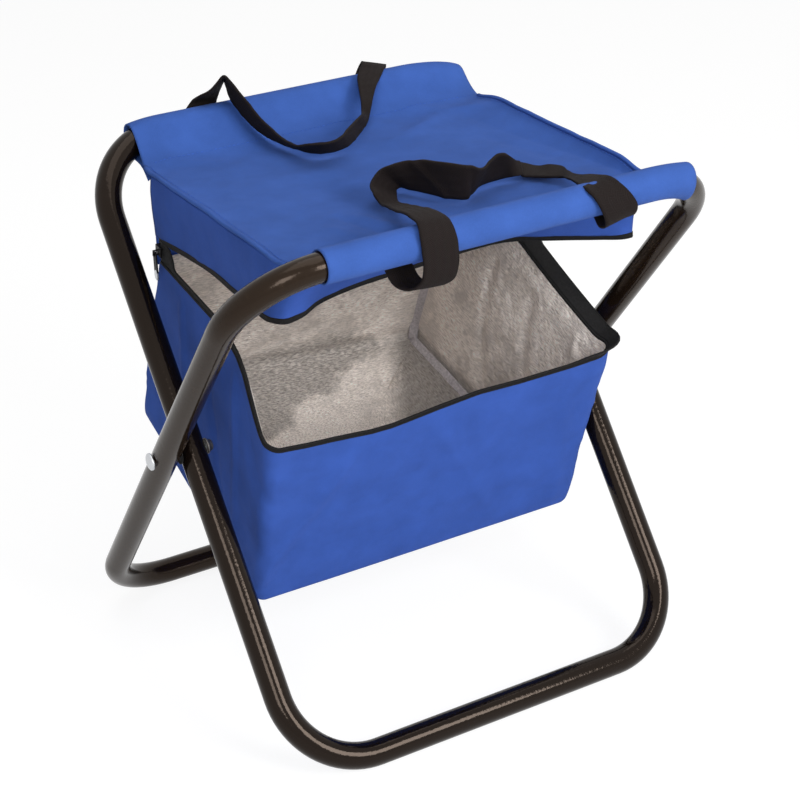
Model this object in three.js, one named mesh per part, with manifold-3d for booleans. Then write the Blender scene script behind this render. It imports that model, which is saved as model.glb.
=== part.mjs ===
// A folding camp stool with an insulated cooler bag under its seat, unzipped, with the bag hanging open.
// Millimetres, +Z up. The origin is on the floor under the pivot, +X along the rails and +Y to the rear.
import * as THREE from "three";
import { mergeVertices } from "three/addons/utils/BufferGeometryUtils.js";
import Module from "manifold-3d";

const wasm = await Module();
wasm.setup();

// Clearance between pieces that touch or are sewn together
const gap = 0.3;

// Steel tube of the two frames
const tubeRadius = 10;
const tubeWall = 1.2;
const tubeSides = 16;
const bendRadius = 60;
const bendSteps = 6;
const buttGap = 0.6;

// Stance of the open stool
const topRailHeight = 393;
const topRailSpacing = 300;
const bottomRailSpacing = 310;
const innerHalfWidth = 164.8;
const legSideGap = 1.4;

// Joining plug inside each top rail
const plugLength = 70;

// Pivots
const rivetRadius = 3;
const rivetHeadRadius = 6.5;
const rivetHeadHeight = 3;
const nutRadius = 6;
const nutHeight = 7.5;
const nutCrown = 2.5;
const rivetTip = 4.5;
const spacerRadius = 8;
const spacerThickness = 0.4;
const pivotSides = 20;

// Fabric sleeves round the two top rails, and how far their ends are in from the inner frame's centre line
const sleeveThickness = 1.2;
const sleeveLeftInset = 33.8;
const frontSleeveRightInset = 4.8;
const rearSleeveRightInset = 24.8;

// Seat panel, which is also the lid of the bag: its drop below the rails, and its sides in from the frame
const seatDrop = 13;
const seatSag = 3;
const seatThickness = 2;
const seatLeftInset = 25.8;
const seatRightInset = 12.8;
const seatFlatHalfDepth = 95;
const seatSlopeRun = 14;
const seatFlatRun = 23;
const seatCornerPull = 8;
const seatCornerSag = 8;
const seatWrapAngle = THREE.MathUtils.degToRad(10);
const seatLeaveAngle = THREE.MathUtils.degToRad(45);
const lidFoamThickness = 4;
const liningThickness = 0.8;
const lidInset = 4;
const weltRadius = 1.2;

// Skirt: the upper band of the bag, sewn under the seat
const skirtThickness = 1.6;
const skirtHeight = 46;
const skirtRearOverhang = 3;
const skirtFrontOverhang = 15;
const skirtFrontLeftHemY = -90;
const skirtFrontRightHemY = -101;
const skirtRightHemFall = 33;
const zipTapeHeight = 9;
const zipTapeThickness = 1.2;
const upperTapeRearY = 70;
const upperTapeRightRearY = 30;

// Cooler bag, hanging from the rear seam with its front dropped
const bagHingeBelowHem = 19;
const bagLeftInset = 25.8;
const bagRightInset = 18.8;
const rimSlope = THREE.MathUtils.degToRad(29.55);
const rimDepth = 196.9;
const rearWallLean = THREE.MathUtils.degToRad(22.8);
const rearWallHeight = 165.7;
const frontWallLean = THREE.MathUtils.degToRad(14.9);
const frontWallHeight = 141;
const bagCornerRadius = 20;
const bagCornerSteps = 4;
const bagBaseSag = 6;
const shellThickness = 1.2;
const foamThickness = 4;
const bindingThickness = 1.5;
const rimStart = 2;
const pinchedSeamGap = 1;
const leftRimLift = 46;
const frontRimLift = 10;
const frontLiftStart = 0.85;
const rightFrontFlare = 18;
const rightRearPinch = 34;
const tapeFlareWidth = 16;
const seamTapeWidth = 8;
const seamTapeThickness = 0.8;

// Zip slider with the bail on its outer face, and the pull that hangs from the bail
const sliderLength = 9;
const sliderWall = 1.2;
const sliderDrop = 6;
const bailWire = 0.9;
const bailReach = 4.3;
const bailHeight = 4.6;
const bailRoot = 0.6;
const pullStandoff = 2.5;
const pullWidth = 5;
const pullLength = 20;
const pullThickness = 1.2;
const pullEye = 1.4;

// Webbing handles
const strapWidth = 25;
const strapThickness = 1.8;
const strapSteps = 44;
const handleSpan = 150;
const handleReach = 138;

// Worked out from the sizes above
const tubeCorner = tubeRadius / Math.cos(Math.PI / tubeSides);
const outerHalfWidth = innerHalfWidth + 2 * tubeRadius + legSideGap;
const sleeveLeft = innerHalfWidth - sleeveLeftInset;
const frontSleeveRight = innerHalfWidth - frontSleeveRightInset;
const rearSleeveRight = innerHalfWidth - rearSleeveRightInset;
const seatLeft = innerHalfWidth - seatLeftInset;
const seatRight = innerHalfWidth - seatRightInset;
const bagLeft = innerHalfWidth - bagLeftInset;
const bagRight = innerHalfWidth - bagRightInset;
const seatLevel = topRailHeight - seatDrop;
const skirtHem = seatLevel - skirtHeight;
const skirtRearY = seatFlatHalfDepth + skirtRearOverhang;
const skirtFrontTopY = -seatFlatHalfDepth - skirtFrontOverhang;
const bagHingeY = skirtRearY;
const bagHingeZ = skirtHem - bagHingeBelowHem;
const legRise = topRailHeight - tubeRadius;
const legRun = (topRailSpacing + bottomRailSpacing) / 2;
const legLength = Math.hypot(legRise, legRun);
const halfOpenAngle = Math.atan2(legRun, legRise);
const lowerShare = bottomRailSpacing / (topRailSpacing + bottomRailSpacing);
const pivotHeight = tubeRadius + legRise * lowerShare;
const legBelow = legLength * lowerShare;
const legAbove = legLength - legBelow;
const railY = topRailSpacing / 2;
const sleeveInner = tubeRadius + gap;
const sleeveOuter = sleeveInner + sleeveThickness;
const sleeveCorner = sleeveOuter / Math.cos(Math.PI / tubeSides);
const bagLayers = shellThickness + gap + foamThickness + gap + liningThickness;

const colours = {
  frame: { color: 0x2a211d, roughness: 0.28, metalness: 0.1 },
  steel: { color: 0xb9bcc0, roughness: 0.3, metalness: 0.9 },
  nylon: { color: 0x161616, roughness: 0.6, metalness: 0 },
  blue: { color: 0x3f5fb8, roughness: 0.85, metalness: 0 },
  webbing: { color: 0x2c231f, roughness: 0.8, metalness: 0 },
  tape: { color: 0x121214, roughness: 0.75, metalness: 0 },
  foam: { color: 0xe8e6e0, roughness: 0.9, metalness: 0 },
  foil: { color: 0xa8a39e, roughness: 0.35, metalness: 0.6 },
  binding: { color: 0x8d8a88, roughness: 0.8, metalness: 0 },
};

const stool = new THREE.Group();
const outerFrame = new THREE.Group();
const innerFrame = new THREE.Group();
outerFrame.position.set(0, 0, pivotHeight);
outerFrame.rotation.x = halfOpenAngle;
innerFrame.position.set(0, 0, pivotHeight);
innerFrame.rotation.x = -halfOpenAngle;
stool.add(outerFrame, innerFrame);

function addPiece(group, name, geometry, finish) {
  const mesh = new THREE.Mesh(geometry, new THREE.MeshStandardMaterial(colours[finish]));
  mesh.name = name;
  group.add(mesh);
  return mesh;
}

const { lerp, clamp } = THREE.MathUtils;
const point = (x, y, z) => new THREE.Vector3(x, y, z);

// The share that a table of [along, share] pairs gives at a place along it, straight between its pairs.
function shareAt(table, along) {
  const last = table.length - 1;
  const found = table.findIndex(([end], i) => i > 0 && along <= end);
  const next = found < 0 ? last : found;
  const [[fromAlong, fromShare], [toAlong, toShare]] = [table[next - 1], table[next]];
  return lerp(fromShare, toShare, clamp((along - fromAlong) / (toAlong - fromAlong), 0, 1));
}

// Collects rings of points, joins them with quads and gives one closed geometry that faces outwards.
class Body {
  constructor() {
    this.points = [];
    this.triangles = [];
  }

  ring(points) {
    const first = this.points.length;
    this.points.push(...points);
    return points.map((_, i) => first + i);
  }

  // Two triangles either side of the shorter diagonal, so that layers that lie close fold the same way.
  quad(a, b, c, d) {
    const [pa, pb, pc, pd] = [a, b, c, d].map((i) => this.points[i]);
    if (pa.distanceTo(pc) <= pb.distanceTo(pd)) this.triangles.push(a, b, c, a, c, d);
    else this.triangles.push(a, b, d, b, c, d);
  }

  // Quads from one ring to the next, closed round the ring.
  band(from, to) {
    from.forEach((_, i) => {
      const next = (i + 1) % from.length;
      this.quad(from[i], from[next], to[next], to[i]);
    });
  }

  // A fan that closes a ring at its middle.
  cap(ring, reversed) {
    const middle = point(0, 0, 0);
    ring.forEach((i) => middle.add(this.points[i]));
    const [centre] = this.ring([middle.divideScalar(ring.length)]);
    ring.forEach((_, i) => {
      const next = (i + 1) % ring.length;
      if (reversed) this.triangles.push(centre, ring[next], ring[i]);
      else this.triangles.push(centre, ring[i], ring[next]);
    });
  }

  volume() {
    let six = 0;
    const cross = point(0, 0, 0);
    for (let i = 0; i < this.triangles.length; i += 3) {
      const [a, b, c] = this.triangles.slice(i, i + 3).map((k) => this.points[k]);
      six += cross.crossVectors(a, b).dot(c);
    }
    return six;
  }

  geometry() {
    const order = [...this.triangles];
    if (this.volume() < 0) order.reverse();
    const made = new THREE.BufferGeometry().setFromPoints(this.points);
    made.setIndex(order);
    made.computeVertexNormals();
    return made;
  }
}

// A body whose rings run out along the outside and back along the inside, open right through.
function loopBody(rings) {
  const body = new Body();
  const made = rings.map((ring) => body.ring(ring));
  made.forEach((ring, i) => body.band(ring, made[(i + 1) % made.length]));
  return body.geometry();
}

// A body made of rings in a stack, closed at both ends.
function stackBody(rings) {
  const body = new Body();
  const made = rings.map((ring) => body.ring(ring));
  made.slice(1).forEach((ring, i) => body.band(made[i], ring));
  body.cap(made[0], true);
  body.cap(made[made.length - 1], false);
  return body.geometry();
}

// Unit normals of a grid of points, from the differences along its rows and columns.
function gridNormals(rows) {
  const lastRow = rows.length - 1;
  return rows.map((row, i) =>
    row.map((_, j) => {
      const along = rows[Math.min(i + 1, lastRow)][j].clone().sub(rows[Math.max(i - 1, 0)][j]);
      const lastColumn = row.length - 1;
      const across = row[Math.min(j + 1, lastColumn)].clone().sub(row[Math.max(j - 1, 0)]);
      return along.cross(across).normalize();
    }),
  );
}

// A sheet of even thickness about a grid of middle points.
function sheet(rows, thickness) {
  const normals = gridNormals(rows);
  const body = new Body();
  const faces = [0.5, -0.5].map((share) =>
    rows.map((row, i) =>
      body.ring(row.map((p, j) => p.clone().addScaledVector(normals[i][j], share * thickness))),
    ),
  );
  const [front, back] = faces;
  const lastRow = rows.length - 1;
  const lastColumn = rows[0].length - 1;
  for (let i = 0; i < lastRow; i += 1) {
    for (let j = 0; j < lastColumn; j += 1) {
      body.quad(front[i][j], front[i + 1][j], front[i + 1][j + 1], front[i][j + 1]);
      body.quad(back[i][j], back[i][j + 1], back[i + 1][j + 1], back[i + 1][j]);
    }
    body.quad(front[i][0], back[i][0], back[i + 1][0], front[i + 1][0]);
    body.quad(front[i][lastColumn], front[i + 1][lastColumn], back[i + 1][lastColumn], back[i][lastColumn]);
  }
  for (let j = 0; j < lastColumn; j += 1) {
    body.quad(front[0][j], front[0][j + 1], back[0][j + 1], back[0][j]);
    body.quad(front[lastRow][j], back[lastRow][j], back[lastRow][j + 1], front[lastRow][j + 1]);
  }
  return body.geometry();
}

// Even steps from 0 to 1.
const shares = (steps) => Array.from({ length: steps + 1 }, (_, i) => i / steps);

function toManifold(geometry) {
  const bare = geometry.clone();
  bare.deleteAttribute("normal");
  if (bare.getAttribute("uv")) bare.deleteAttribute("uv");
  const merged = mergeVertices(bare);
  return new wasm.Manifold(
    new wasm.Mesh({
      numProp: 3,
      vertProperties: merged.attributes.position.array,
      triVerts: new Uint32Array(merged.index.array),
    }),
  );
}

function toGeometry(manifold) {
  const mesh = manifold.getMesh();
  const made = new THREE.BufferGeometry();
  made.setAttribute("position", new THREE.BufferAttribute(mesh.vertProperties, 3));
  made.setIndex(new THREE.BufferAttribute(mesh.triVerts, 1));
  made.computeVertexNormals();
  return made;
}

// A quarter bend in the frame's own XZ plane, from one angle to another.
function bend(centreX, centreZ, from, to) {
  return shares(bendSteps).map((share) => {
    const angle = lerp(from, to, share);
    return point(centreX + bendRadius * Math.cos(angle), 0, centreZ + bendRadius * Math.sin(angle));
  });
}

const quarter = Math.PI / 2;

// The frame's centre line, clockwise from the butt joint in the middle of the top rail.
function loopPath(halfWidth) {
  const side = halfWidth - bendRadius;
  const high = legAbove - bendRadius;
  const low = bendRadius - legBelow;
  return [
    point(buttGap / 2, 0, legAbove),
    ...bend(side, high, quarter, 0),
    ...bend(side, low, 0, -quarter),
    ...bend(-side, low, -quarter, -2 * quarter),
    ...bend(-side, high, 2 * quarter, quarter),
    point(-buttGap / 2, 0, legAbove),
  ];
}

// The top rail's centre line between two places along X, over the bends where it reaches them.
function railPath(halfWidth, fromX, toX) {
  const side = halfWidth - bendRadius;
  const high = legAbove - bendRadius;
  const whole = [...bend(-side, high, 2 * quarter, quarter), ...bend(side, high, quarter, 0)];
  const placeAt = (x) => {
    const next = whole.findIndex((p) => p.x > x);
    const share = (x - whole[next - 1].x) / (whole[next].x - whole[next - 1].x);
    return whole[next - 1].clone().lerp(whole[next], share);
  };
  return [placeAt(fromX), ...whole.filter((p) => p.x > fromX && p.x < toX), placeAt(toX)];
}

// Rings of a many-sided pipe along a path in the XZ plane, mitred where the path turns.
function pipeRings(path, radius, phase) {
  const corner = radius / Math.cos(Math.PI / tubeSides);
  return path.map((p, i) => {
    const before = p.clone().sub(path[Math.max(i - 1, 0)]).normalize();
    const after = path[Math.min(i + 1, path.length - 1)].clone().sub(p).normalize();
    const along = before.clone().add(after).normalize();
    const ends = i === 0 || i === path.length - 1;
    const stretch = ends ? 1 : 1 / along.dot(after);
    return Array.from({ length: tubeSides }, (_, k) => {
      const angle = phase + ((k + 0.5) * 2 * Math.PI) / tubeSides;
      const outward = corner * Math.cos(angle) * stretch;
      return point(p.x - along.z * outward, corner * Math.sin(angle), p.z + along.x * outward);
    });
  });
}

function pipe(path, outer, inner, phase) {
  return loopBody([...pipeRings(path, outer, phase), ...pipeRings(path, inner, phase).reverse()]);
}

// A turned piece on the X axis, from a profile of [radius, distance outwards], with side +1 or -1.
function turned(profile, side) {
  const points = profile.map(([radius, along]) => new THREE.Vector2(radius, along));
  const made = new THREE.LatheGeometry(points, pivotSides);
  return made.rotateZ(-side * quarter);
}

// One frame: its tube, drilled for the rivets, the plug in the butt joint, and the sleeve on its top rail.
function addFrame(group, name, halfWidth, phase, sleeveName, sleeveRight) {
  const tube = toManifold(pipe(loopPath(halfWidth), tubeRadius, tubeRadius - tubeWall, phase));
  const drillLength = 2 * (outerHalfWidth + 2 * tubeRadius);
  const drill = new THREE.CylinderGeometry(rivetRadius + gap, rivetRadius + gap, drillLength, pivotSides);
  const drilled = tube.subtract(toManifold(drill.rotateZ(quarter)));
  addPiece(group, name + "_tube", toGeometry(drilled), "frame");
  const plugPath = [point(-plugLength / 2, 0, legAbove), point(plugLength / 2, 0, legAbove)];
  const plugRings = pipeRings(plugPath, tubeRadius - tubeWall - gap, phase);
  addPiece(group, name + "_plug", stackBody(plugRings), "steel");
  const sleevePath = railPath(halfWidth, -sleeveLeft, sleeveRight);
  addPiece(group, sleeveName, pipe(sleevePath, sleeveOuter, sleeveInner, phase), "blue");
}

addFrame(outerFrame, "outer_frame", outerHalfWidth, -halfOpenAngle, "front_sleeve", frontSleeveRight);
addFrame(innerFrame, "inner_frame", innerHalfWidth, halfOpenAngle, "rear_sleeve", rearSleeveRight);

// Pivots: a domed rivet through both legs, a spacer between them and a cap nut inside.
const headFace = outerHalfWidth + tubeCorner + gap;
const nutFace = innerHalfWidth - tubeCorner - gap;
const spacerMiddle = innerHalfWidth + tubeRadius + legSideGap / 2;

// Domes as shares of their radius and height
const headDomeShares = [[1, 0.4], [0.75, 0.8], [0.4, 0.97], [0, 1]];
const nutDomeShares = [[0, 0], [0.55, 0.15], [0.9, 0.6], [1, 1]];
const rivetProfile = [
  [0, nutFace - rivetTip],
  [rivetRadius, nutFace - rivetTip],
  [rivetRadius, headFace],
  [rivetHeadRadius, headFace],
  ...headDomeShares.map(([wide, high]) => [rivetHeadRadius * wide, headFace + rivetHeadHeight * high]),
];
const nutBore = rivetRadius + gap;
const nutProfile = [
  ...nutDomeShares.map(([wide, high]) => [nutRadius * wide, nutFace - nutHeight + nutCrown * high]),
  [nutRadius, nutFace],
  [nutBore, nutFace],
  [nutBore, nutFace - rivetTip - gap],
  [0, nutFace - rivetTip - gap],
];
const spacerProfile = [
  [nutBore, spacerMiddle - spacerThickness / 2],
  [spacerRadius, spacerMiddle - spacerThickness / 2],
  [spacerRadius, spacerMiddle + spacerThickness / 2],
  [nutBore, spacerMiddle + spacerThickness / 2],
  [nutBore, spacerMiddle - spacerThickness / 2],
];
for (const [sideName, side] of [["left", -1], ["right", 1]]) {
  addPiece(outerFrame, "pivot_rivet_" + sideName, turned(rivetProfile, side), "steel");
  addPiece(outerFrame, "pivot_spacer_" + sideName, turned(spacerProfile, side), "nylon");
  addPiece(outerFrame, "pivot_nut_" + sideName, turned(nutProfile, side), "steel");
}

// Seat: its middle surface wraps the crown of each sleeve, leaves it at a slope and runs level with a sag.
const wrapRadius = sleeveCorner + gap + seatThickness / 2;
const wrapSteps = 4;
const slopeSteps = 6;
const flatSteps = 6;

function halfSeatProfile() {
  const arc = shares(wrapSteps).map((share) => {
    const angle = lerp(-seatWrapAngle, seatLeaveAngle, share);
    return new THREE.Vector2(
      railY - wrapRadius * Math.sin(angle),
      topRailHeight + wrapRadius * Math.cos(angle),
    );
  });
  const leave = arc[arc.length - 1];
  const slope = new THREE.CubicBezierCurve(
    leave,
    new THREE.Vector2(leave.x - seatSlopeRun, leave.y - seatSlopeRun),
    new THREE.Vector2(seatFlatHalfDepth + seatFlatRun, seatLevel),
    new THREE.Vector2(seatFlatHalfDepth, seatLevel),
  );
  return [...arc, ...slope.getPoints(slopeSteps).slice(1)];
}

const rearProfile = halfSeatProfile();
const flatProfile = shares(flatSteps)
  .slice(1, -1)
  .map((share) => {
    const y = lerp(seatFlatHalfDepth, -seatFlatHalfDepth, share);
    return new THREE.Vector2(y, seatLevel - seatSag * Math.sin(Math.PI * share));
  });
const frontProfile = [...rearProfile].reverse().map((p) => new THREE.Vector2(-p.x, p.y));
const seatProfile = [...rearProfile, ...flatProfile, ...frontProfile];

// Height of the seat's middle surface at a place between the rails.
function seatHeight(y) {
  const next = seatProfile.findIndex((p) => p.x < y);
  const [a, b] = [seatProfile[next - 1], seatProfile[next]];
  return lerp(a.y, b.y, (y - a.x) / (b.x - a.x));
}

// Height just clear of the seat's underside, which is further below the middle where the seat slopes.
function seatUnderside(y) {
  const next = seatProfile.findIndex((p) => p.x < y);
  const [a, b] = [seatProfile[next - 1], seatProfile[next]];
  const level = Math.abs(a.x - b.x) / a.distanceTo(b);
  return seatHeight(y) - (seatThickness / 2 + gap) / level;
}

const seatSpans = 12;
const seatColumns = shares(seatSpans);
const edgePull = (y) => seatCornerPull * (y / railY) ** 2;

// The rear rail bends down under the seat's right corner, and the corner sags part of the way after it.
const rearStraight = innerHalfWidth - bendRadius;
const seatCornerX = seatRight + seatCornerPull;
function cornerSag(x, y) {
  const pastBend = Math.max(x - rearStraight, 0) / (seatCornerX - rearStraight);
  const towardsRail = Math.max(y - seatFlatHalfDepth, 0) / (railY - seatFlatHalfDepth);
  return seatCornerSag * pastBend ** 3 * Math.min(towardsRail, 1);
}

const seatRows = seatProfile.map((p) =>
  seatColumns.map((share) => {
    const x = lerp(-seatLeft, seatRight, share) + edgePull(p.x);
    return point(x, p.x, p.y - cornerSag(x, p.x));
  }),
);
addPiece(stool, "seat_panel", sheet(seatRows, seatThickness), "blue");

// Foam and foil under the seat, inside the skirt.
function addLidLayer(name, below, thickness, finish) {
  const rows = shares(flatSteps).map((rowShare) => {
    const y = lerp(skirtRearY - lidInset, -seatFlatHalfDepth, rowShare);
    return seatColumns.map((share) => {
      const x = lerp(-seatLeft + lidInset, seatRight - lidInset, share);
      return point(x, y, seatLevel - seatSag - below);
    });
  });
  addPiece(stool, name, sheet(rows, thickness), finish);
}

const foamBelow = seatThickness / 2 + gap + lidFoamThickness / 2;
addLidLayer("lid_foam", foamBelow, lidFoamThickness, "foam");
const lidLiningBelow = foamBelow + lidFoamThickness / 2 + gap + liningThickness / 2;
addLidLayer("lid_lining", lidLiningBelow, liningThickness, "foil");

// Shares of the way from the skirt's rear to its front at which the seat's profile turns
const skirtSpan = skirtRearY - skirtFrontTopY;
const turns = seatProfile
  .filter((p) => p.x < skirtRearY && p.x > skirtFrontTopY)
  .map((p) => (skirtRearY - p.x) / skirtSpan);
const seatStations = [0, ...turns, 1];

// Piping along the two side creases of the seat.
function addWelt(name, x) {
  const rows = seatStations.map((share) => {
    const y = lerp(skirtRearY, skirtFrontTopY, share);
    const z = seatUnderside(y) - cornerSag(x + weltRadius, y) - weltRadius;
    return [point(x - weltRadius, y, z), point(x, y, z), point(x + weltRadius, y, z)];
  });
  addPiece(stool, name, sheet(rows, 2 * weltRadius), "blue");
}

addWelt("seat_welt_left", -seatLeft - weltRadius - gap);
addWelt("seat_welt_right", seatRight + weltRadius + gap);

// The right side's hem hangs low behind and rises to the front corner, as shares of its fall.
const rightHemShares = [[0, 0.55], [0.3, 1], [0.65, 0.48], [1, -0.03]];
const hemFall = (across, along) => across * skirtRightHemFall * shareAt(rightHemShares, along);

// Skirt panels, each a grid from its top edge under the seat to its hem.
const skirtSteps = 6;

function addSideSkirt(name, x, frontHemY, across) {
  const rows = seatStations.map((along) =>
    shares(skirtSteps).map((down) => {
      const front = lerp(skirtFrontTopY, frontHemY, down);
      const topY = lerp(skirtRearY, skirtFrontTopY, along);
      const hem = skirtHem - hemFall(across, along);
      return point(x, lerp(skirtRearY, front, along), lerp(seatUnderside(topY), hem, down));
    }),
  );
  addPiece(stool, name, sheet(rows, skirtThickness), "blue");
}

const skirtLeftX = -seatLeft + skirtThickness / 2;
const skirtRightX = seatRight - skirtThickness / 2;
addSideSkirt("skirt_left", skirtLeftX, skirtFrontLeftHemY, 0);
addSideSkirt("skirt_right", skirtRightX, skirtFrontRightHemY, 1);

const innerLeftX = skirtLeftX + skirtThickness / 2 + gap;
const innerRightX = skirtRightX - skirtThickness / 2 - 2 * gap;
const frontSteps = 12;
// The front hem is drawn back under the rail: its place in Y at shares of the way from left to right.
const frontHemPlaces = [
  [0, skirtFrontLeftHemY],
  [0.08, -87],
  [0.17, -74],
  [0.25, -66],
  [0.42, -58],
  [0.67, -51],
  [0.75, -56],
  [0.83, -68],
  [0.92, -84],
  [1, skirtFrontRightHemY],
];
const frontHemY = (share) => shareAt(frontHemPlaces, share);
const frontSkirtRows = shares(frontSteps).map((share) =>
  shares(skirtSteps).map((down) => {
    const x = lerp(innerLeftX, innerRightX, share);
    const y = lerp(skirtFrontTopY, frontHemY(share), down);
    const hem = skirtHem - hemFall(share, 1);
    return point(x, y, lerp(seatUnderside(skirtFrontTopY) - skirtThickness, hem, down));
  }),
);
addPiece(stool, "skirt_front", sheet(frontSkirtRows, skirtThickness), "blue");

const rearSkirtRows = shares(frontSteps).map((share) =>
  shares(skirtSteps).map((down) => {
    const x = lerp(innerLeftX, innerRightX, share);
    return point(x, skirtRearY, lerp(seatUnderside(skirtRearY) - skirtThickness, bagHingeZ + gap, down));
  }),
);
addPiece(stool, "skirt_rear", sheet(rearSkirtRows, skirtThickness), "blue");

// Upper half of the zip, along the hems of the left, front and right skirts.
function tapeRow(x, y, across) {
  const along = across < 1 ? 1 : (skirtRearY - y) / (skirtRearY - skirtFrontRightHemY);
  const top = skirtHem - hemFall(across, along) - skirtThickness / 2 - gap;
  return [point(x, y, top), point(x, y, top - zipTapeHeight)];
}
const sideTapeShares = [0, 0.5, 0.95];
const upperTapeRows = [
  ...sideTapeShares.map((share) => tapeRow(skirtLeftX, lerp(upperTapeRearY, skirtFrontLeftHemY, share), 0)),
  ...shares(frontSteps)
    .slice(1, -1)
    .map((share) => tapeRow(lerp(innerLeftX, innerRightX, share), frontHemY(share), share)),
  ...[...sideTapeShares]
    .reverse()
    .map((share) => tapeRow(skirtRightX, lerp(upperTapeRightRearY, skirtFrontRightHemY, share), 1)),
];
addPiece(stool, "upper_zip_tape", sheet(upperTapeRows, zipTapeThickness), "tape");

// Side profile of the open bag, as corners in Y and Z.
const side = (y, z) => new THREE.Vector2(y, z);
const rimRear = side(bagHingeY, bagHingeZ);
const rimFront = side(bagHingeY - rimDepth * Math.cos(rimSlope), bagHingeZ - rimDepth * Math.sin(rimSlope));
const baseRear = side(
  rimRear.x + rearWallHeight * Math.sin(rearWallLean),
  rimRear.y - rearWallHeight * Math.cos(rearWallLean),
);
const baseFront = side(
  rimFront.x + frontWallHeight * Math.sin(frontWallLean),
  rimFront.y - frontWallHeight * Math.cos(frontWallLean),
);
const wallHeight = (rearWallHeight + frontWallHeight) / 2;

// Share of the wall's height by which its rear right corner is fully pinched in
const pinchDownShare = 0.67;

// The left wall still stands up behind its front edge; the front wall and the right wall have dropped.
// Its rim, as shares of the depth and of the lift above the straight line from rear to front
const leftRimShares = [[0, 0], [0.57, 0.9], [0.7, 1], [0.78, 1], [0.82, 0.86], [0.9, 0.3], [0.93, 0.1], [1, 0]];

// The front rim rises and falls a little, as shares of the width and of its lift
const frontRimShares = [[0, 0.8], [0.11, 0.45], [0.29, 0.05], [0.36, 0.25], [0.48, 0.84], [0.6, 1], [0.8, 0.9], [1, 0.9]];

// A place in the bag: x across, depth from the rear wall and drop below the rim, both as lengths.
function bagPlace(x, depth, drop) {
  const down = drop / wallHeight;
  const rear = rimRear.clone().lerp(baseRear, down);
  const front = rimFront.clone().lerp(baseFront, down);
  const depthShare = depth / rear.distanceTo(front);
  const at = rear.clone().lerp(front, depthShare);
  const acrossShare = (x + bagLeft) / (bagLeft + bagRight);
  const frontWeight = clamp((depthShare - frontLiftStart) / (1 - frontLiftStart), 0, 1);
  const lift = frontRimLift * shareAt(frontRimShares, acrossShare) * frontWeight * (1 - down);
  if (x < 0) return point(x, at.x, at.y + lift + leftRimLift * shareAt(leftRimShares, depthShare) * (1 - down));
  const flare = rightFrontFlare * depthShare ** 2 * (1 - down);
  const pinch = rightRearPinch * (1 - depthShare) * Math.sin(quarter * clamp(down / pinchDownShare, 0, 1));
  return point(x + (flare - pinch) * (x / bagRight), at.x, at.y + lift);
}

function bagDepthAt(drop) {
  const down = drop / wallHeight;
  return rimRear.clone().lerp(baseRear, down).distanceTo(rimFront.clone().lerp(baseFront, down));
}

// A rounded corner of the bag's plan: which side, rear or front, and the angle swept from the side wall.
function cornerPlace(right, front, inset, drop, angle) {
  const radius = bagCornerRadius - inset;
  const sideX = right ? bagRight - bagCornerRadius : -bagLeft + bagCornerRadius;
  const outX = right ? 1 : -1;
  const depth = bagDepthAt(drop);
  const middleDepth = front ? depth - bagCornerRadius : bagCornerRadius;
  const outDepth = front ? 1 : -1;
  return bagPlace(
    sideX + outX * radius * Math.cos(angle),
    middleDepth + outDepth * radius * Math.sin(angle),
    drop,
  );
}

const cornerAngles = shares(bagCornerSteps).map((share) => share * quarter);

// Depths along the side walls, from the rear on the left and from the front on the right
const leftStationShares = [0.35, 0.57, 0.75, 0.83];
const rightStationShares = [0.75, 0.5, 0.25];

// Stations along the front wall, between its rounded corners
const frontStationShares = [0.2, 0.4, 0.6, 0.8];

function frontPlace(share, inset, drop) {
  const x = lerp(-bagLeft + bagCornerRadius, bagRight - bagCornerRadius, share);
  return bagPlace(x, bagDepthAt(drop) - inset, drop);
}

// The whole plan outline at a drop below the rim, set in from the outside by an inset.
function bagRing(inset, drop) {
  const corner = (right, front, turn) =>
    (turn ? [...cornerAngles].reverse() : cornerAngles).map((angle) =>
      cornerPlace(right, front, inset, drop, angle),
    );
  return [
    ...corner(false, false, true),
    ...leftStationShares.map((share) => bagPlace(-bagLeft + inset, share * bagDepthAt(drop), drop)),
    ...corner(false, true, false),
    ...frontStationShares.map((share) => frontPlace(share, inset, drop)),
    ...corner(true, true, true),
    ...rightStationShares.map((share) => bagPlace(bagRight - inset, share * bagDepthAt(drop), drop)),
    ...corner(true, false, false),
  ];
}

// A ring drawn towards its own middle and lowered, for the sagging base.
function baseRing(ring, share, sag) {
  const middle = point(0, 0, 0);
  ring.forEach((p) => middle.add(p));
  middle.divideScalar(ring.length);
  return ring.map((p) => p.clone().lerp(middle, share).add(point(0, 0, -sag)));
}

const wallShares = [0, 0.33, 0.67, 1];
const baseMiddleShare = 0.6;

// One layer of the bag: an open-topped tub between two insets.
function addTub(name, outer, inner, finish) {
  const outerRings = wallShares.map((share) => bagRing(outer, share * (wallHeight - outer)));
  const innerRings = wallShares.map((share) => bagRing(inner, share * (wallHeight - inner)));
  const last = wallShares.length - 1;
  const rings = [
    baseRing(outerRings[last], baseMiddleShare, bagBaseSag),
    ...outerRings.reverse(),
    ...innerRings,
    baseRing(innerRings[last], baseMiddleShare, bagBaseSag),
  ];
  addPiece(stool, name, stackBody(rings), finish);
}

const foamInset = shellThickness + gap;
const liningInset = foamInset + foamThickness + gap;
addTub("bag_shell", 0, shellThickness, "blue");
addTub("bag_foam", foamInset, foamInset + foamThickness, "foam");
addTub("bag_lining", liningInset, bagLayers, "foil");

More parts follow.
